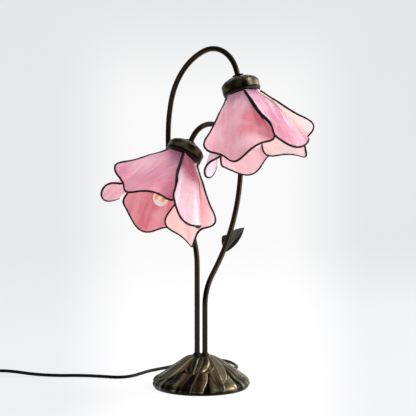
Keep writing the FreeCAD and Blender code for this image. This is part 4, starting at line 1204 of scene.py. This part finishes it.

# Each glass ends with its painted glow, strongest on the inner petals, painted in place of light shining
# through them.
UPPER_GLASSES = (
    OpalGlass("upper_front_rose", tint(226, 166, 180), tint(236, 190, 200), (
        GlassPatch(LILAC, (6, 6), (34, 24), 0, 0.7),
        GlassPatch(tint(232, 190, 207), (-14, 16), (12, 20), 0, 0.55),
        GlassPatch(ROSE, (-36, 58), (34, 40), 10, 0.9),
        GlassPatch(MILK, (-14, 94), (24, 12), 0, 0.45),
    ), 6, 0.65, 0.2, 0.2, 0.18),
    OpalGlass("upper_right_pale", tint(238, 196, 209), tint(200, 124, 152), (
        GlassPatch(tint(206, 146, 176), (6, 10), (30, 24), 0, 0.6),
        GlassPatch(tint(222, 150, 172), (10, 96), (34, 22), 0, 0.5),
    ), 14, 1.3, 0.15, 1.3, 0.12),
    OpalGlass("upper_back_cream", tint(246, 228, 223), tint(243, 214, 212), (), 8, 0.6, 0.2, 2.1, 0.3),
    OpalGlass("upper_inner_pink", tint(243, 212, 216), tint(236, 182, 191), (
        GlassPatch(tint(232, 152, 163), (34, 60), (20, 50), 0, 0.5),
        GlassPatch(tint(232, 156, 166), (-34, 70), (16, 40), 0, 0.45),
    ), 10, 0.7, 0.25, 3.4, 0.28),
    OpalGlass("upper_left_pale", tint(245, 222, 230), tint(236, 194, 208), (), 5, 0.7, 0.3, 4.2, 0.17),
)
LOWER_GLASSES = (
    OpalGlass("lower_front_mauve", tint(224, 160, 178), tint(200, 128, 155), (
        GlassPatch(tint(166, 104, 134), (-14, 10), (32, 28), 0, 0.85),
        GlassPatch(tint(234, 192, 204), (22, 46), (26, 30), 20, 0.55),
        GlassPatch(tint(214, 130, 150), (-16, 90), (42, 22), 0, 0.55),
    ), 10, 1.0, 0.15, 5.1, 0.16),
    OpalGlass("lower_right_rose", tint(240, 208, 218), tint(230, 172, 188), (
        GlassPatch(tint(204, 108, 132), (2, 22), (42, 26), 0, 1.0),
        GlassPatch(tint(232, 170, 184), (-34, 80), (16, 50), 0, 0.7),
    ), 6, 0.75, 0.2, 6.3, 0.12),
    OpalGlass("lower_inner_peach", tint(249, 222, 218), tint(246, 205, 203), (
        GlassPatch(tint(234, 160, 162), (30, 62), (22, 34), 0, 0.4),
    ), 8, 0.7, 0.25, 7.4, 0.3),
    OpalGlass("lower_inner_rose", tint(224, 152, 160), tint(208, 118, 133), (
        GlassPatch(tint(232, 176, 183), (-34, 70), (24, 40), 0, 0.6),
    ), 12, 1.0, 0.15, 8.2, 0.33),
    OpalGlass("lower_left_pink", tint(246, 216, 222), tint(232, 176, 189), (), 18, 0.9, 0.3, 9.5, 0.33),
)


METALS = {
    "bronze": MetalFinish(
        "cast_bronze", tint(5, 7, 5), tint(26, 25, 18), tint(132, 118, 90),
        roughness=(0.22, 0.4), scale=1.6, bump=0.3, attribute="relief",
    ),
    "tube": MetalFinish(
        "plated_tube", tint(20, 18, 14), tint(46, 39, 30), tint(96, 82, 62),
        roughness=(0.14, 0.24), scale=1.2, relief=0.3, bump=0.05,
    ),
    "leaf": MetalFinish(
        "leaf_bronze", tint(16, 18, 15), tint(54, 55, 48), tint(96, 93, 82),
        roughness=(0.36, 0.55), scale=2.0, relief=0.4, bump=0.35,
    ),
    "zinc": MetalFinish(
        "zinc_plate", tint(96, 98, 100), tint(150, 152, 154), tint(196, 198, 200),
        roughness=(0.3, 0.45), scale=2.5, relief=0.4, bump=0.1,
    ),
    "ballast": MetalFinish(
        "ballast_iron", tint(26, 26, 28), tint(58, 58, 60), tint(96, 95, 94),
        roughness=(0.5, 0.8), scale=2.0, relief=0.3, bump=0.5, metallic=0.8,
    ),
    "brass": MetalFinish(
        "contact_brass", tint(96, 74, 34), tint(190, 156, 84), tint(226, 196, 128),
        roughness=(0.22, 0.36), scale=3.0, relief=0.45, bump=0.08,
    ),
    "lead": MetalFinish(
        "blackened_lead", tint(3, 3, 4), tint(8, 8, 9), tint(70, 70, 72),
        roughness=(0.3, 0.5), scale=2.6, relief=0.08, bump=0.35, metallic=0.0, shine=0.22,
    ),
}


def build_finishes(patina: bpy.types.NodeTree) -> dict[str, Material]:
    """Makes every finish that more than one piece wears.

    Args:
        patina: the shared group of aged metal.
    Returns:
        The materials by a plain word.
    """
    made = {word: metal.build(patina) for word, metal in METALS.items()}
    others = {
        "rubber": build_rubber, "plastic": build_plastic, "felt": build_felt, "filament": build_filament,
    }
    return made | {word: build() for word, build in others.items()}


def main() -> None:
    """Builds the studio and the lamp, piece by piece."""
    Studio().build()
    finishes = build_finishes(build_patina_group())
    MainsCord().build(finishes["rubber"], finishes["plastic"], finishes["brass"])
    LampBase().build(finishes["bronze"], finishes["tube"], finishes)
    Stems().build(finishes["tube"], finishes["leaf"])
    upper = Shade("upper", (59.01, -56.16, 438.01), -41.0, 18.6, 288.7, UPPER_GLASSES)
    lower = Shade("lower", (-25.7, -27.5, 345.0), 221.0, 34.7, 23.9, LOWER_GLASSES)
    for shade in (upper, lower):
        shade.build(finishes)


if __name__ == "__main__":
    main()
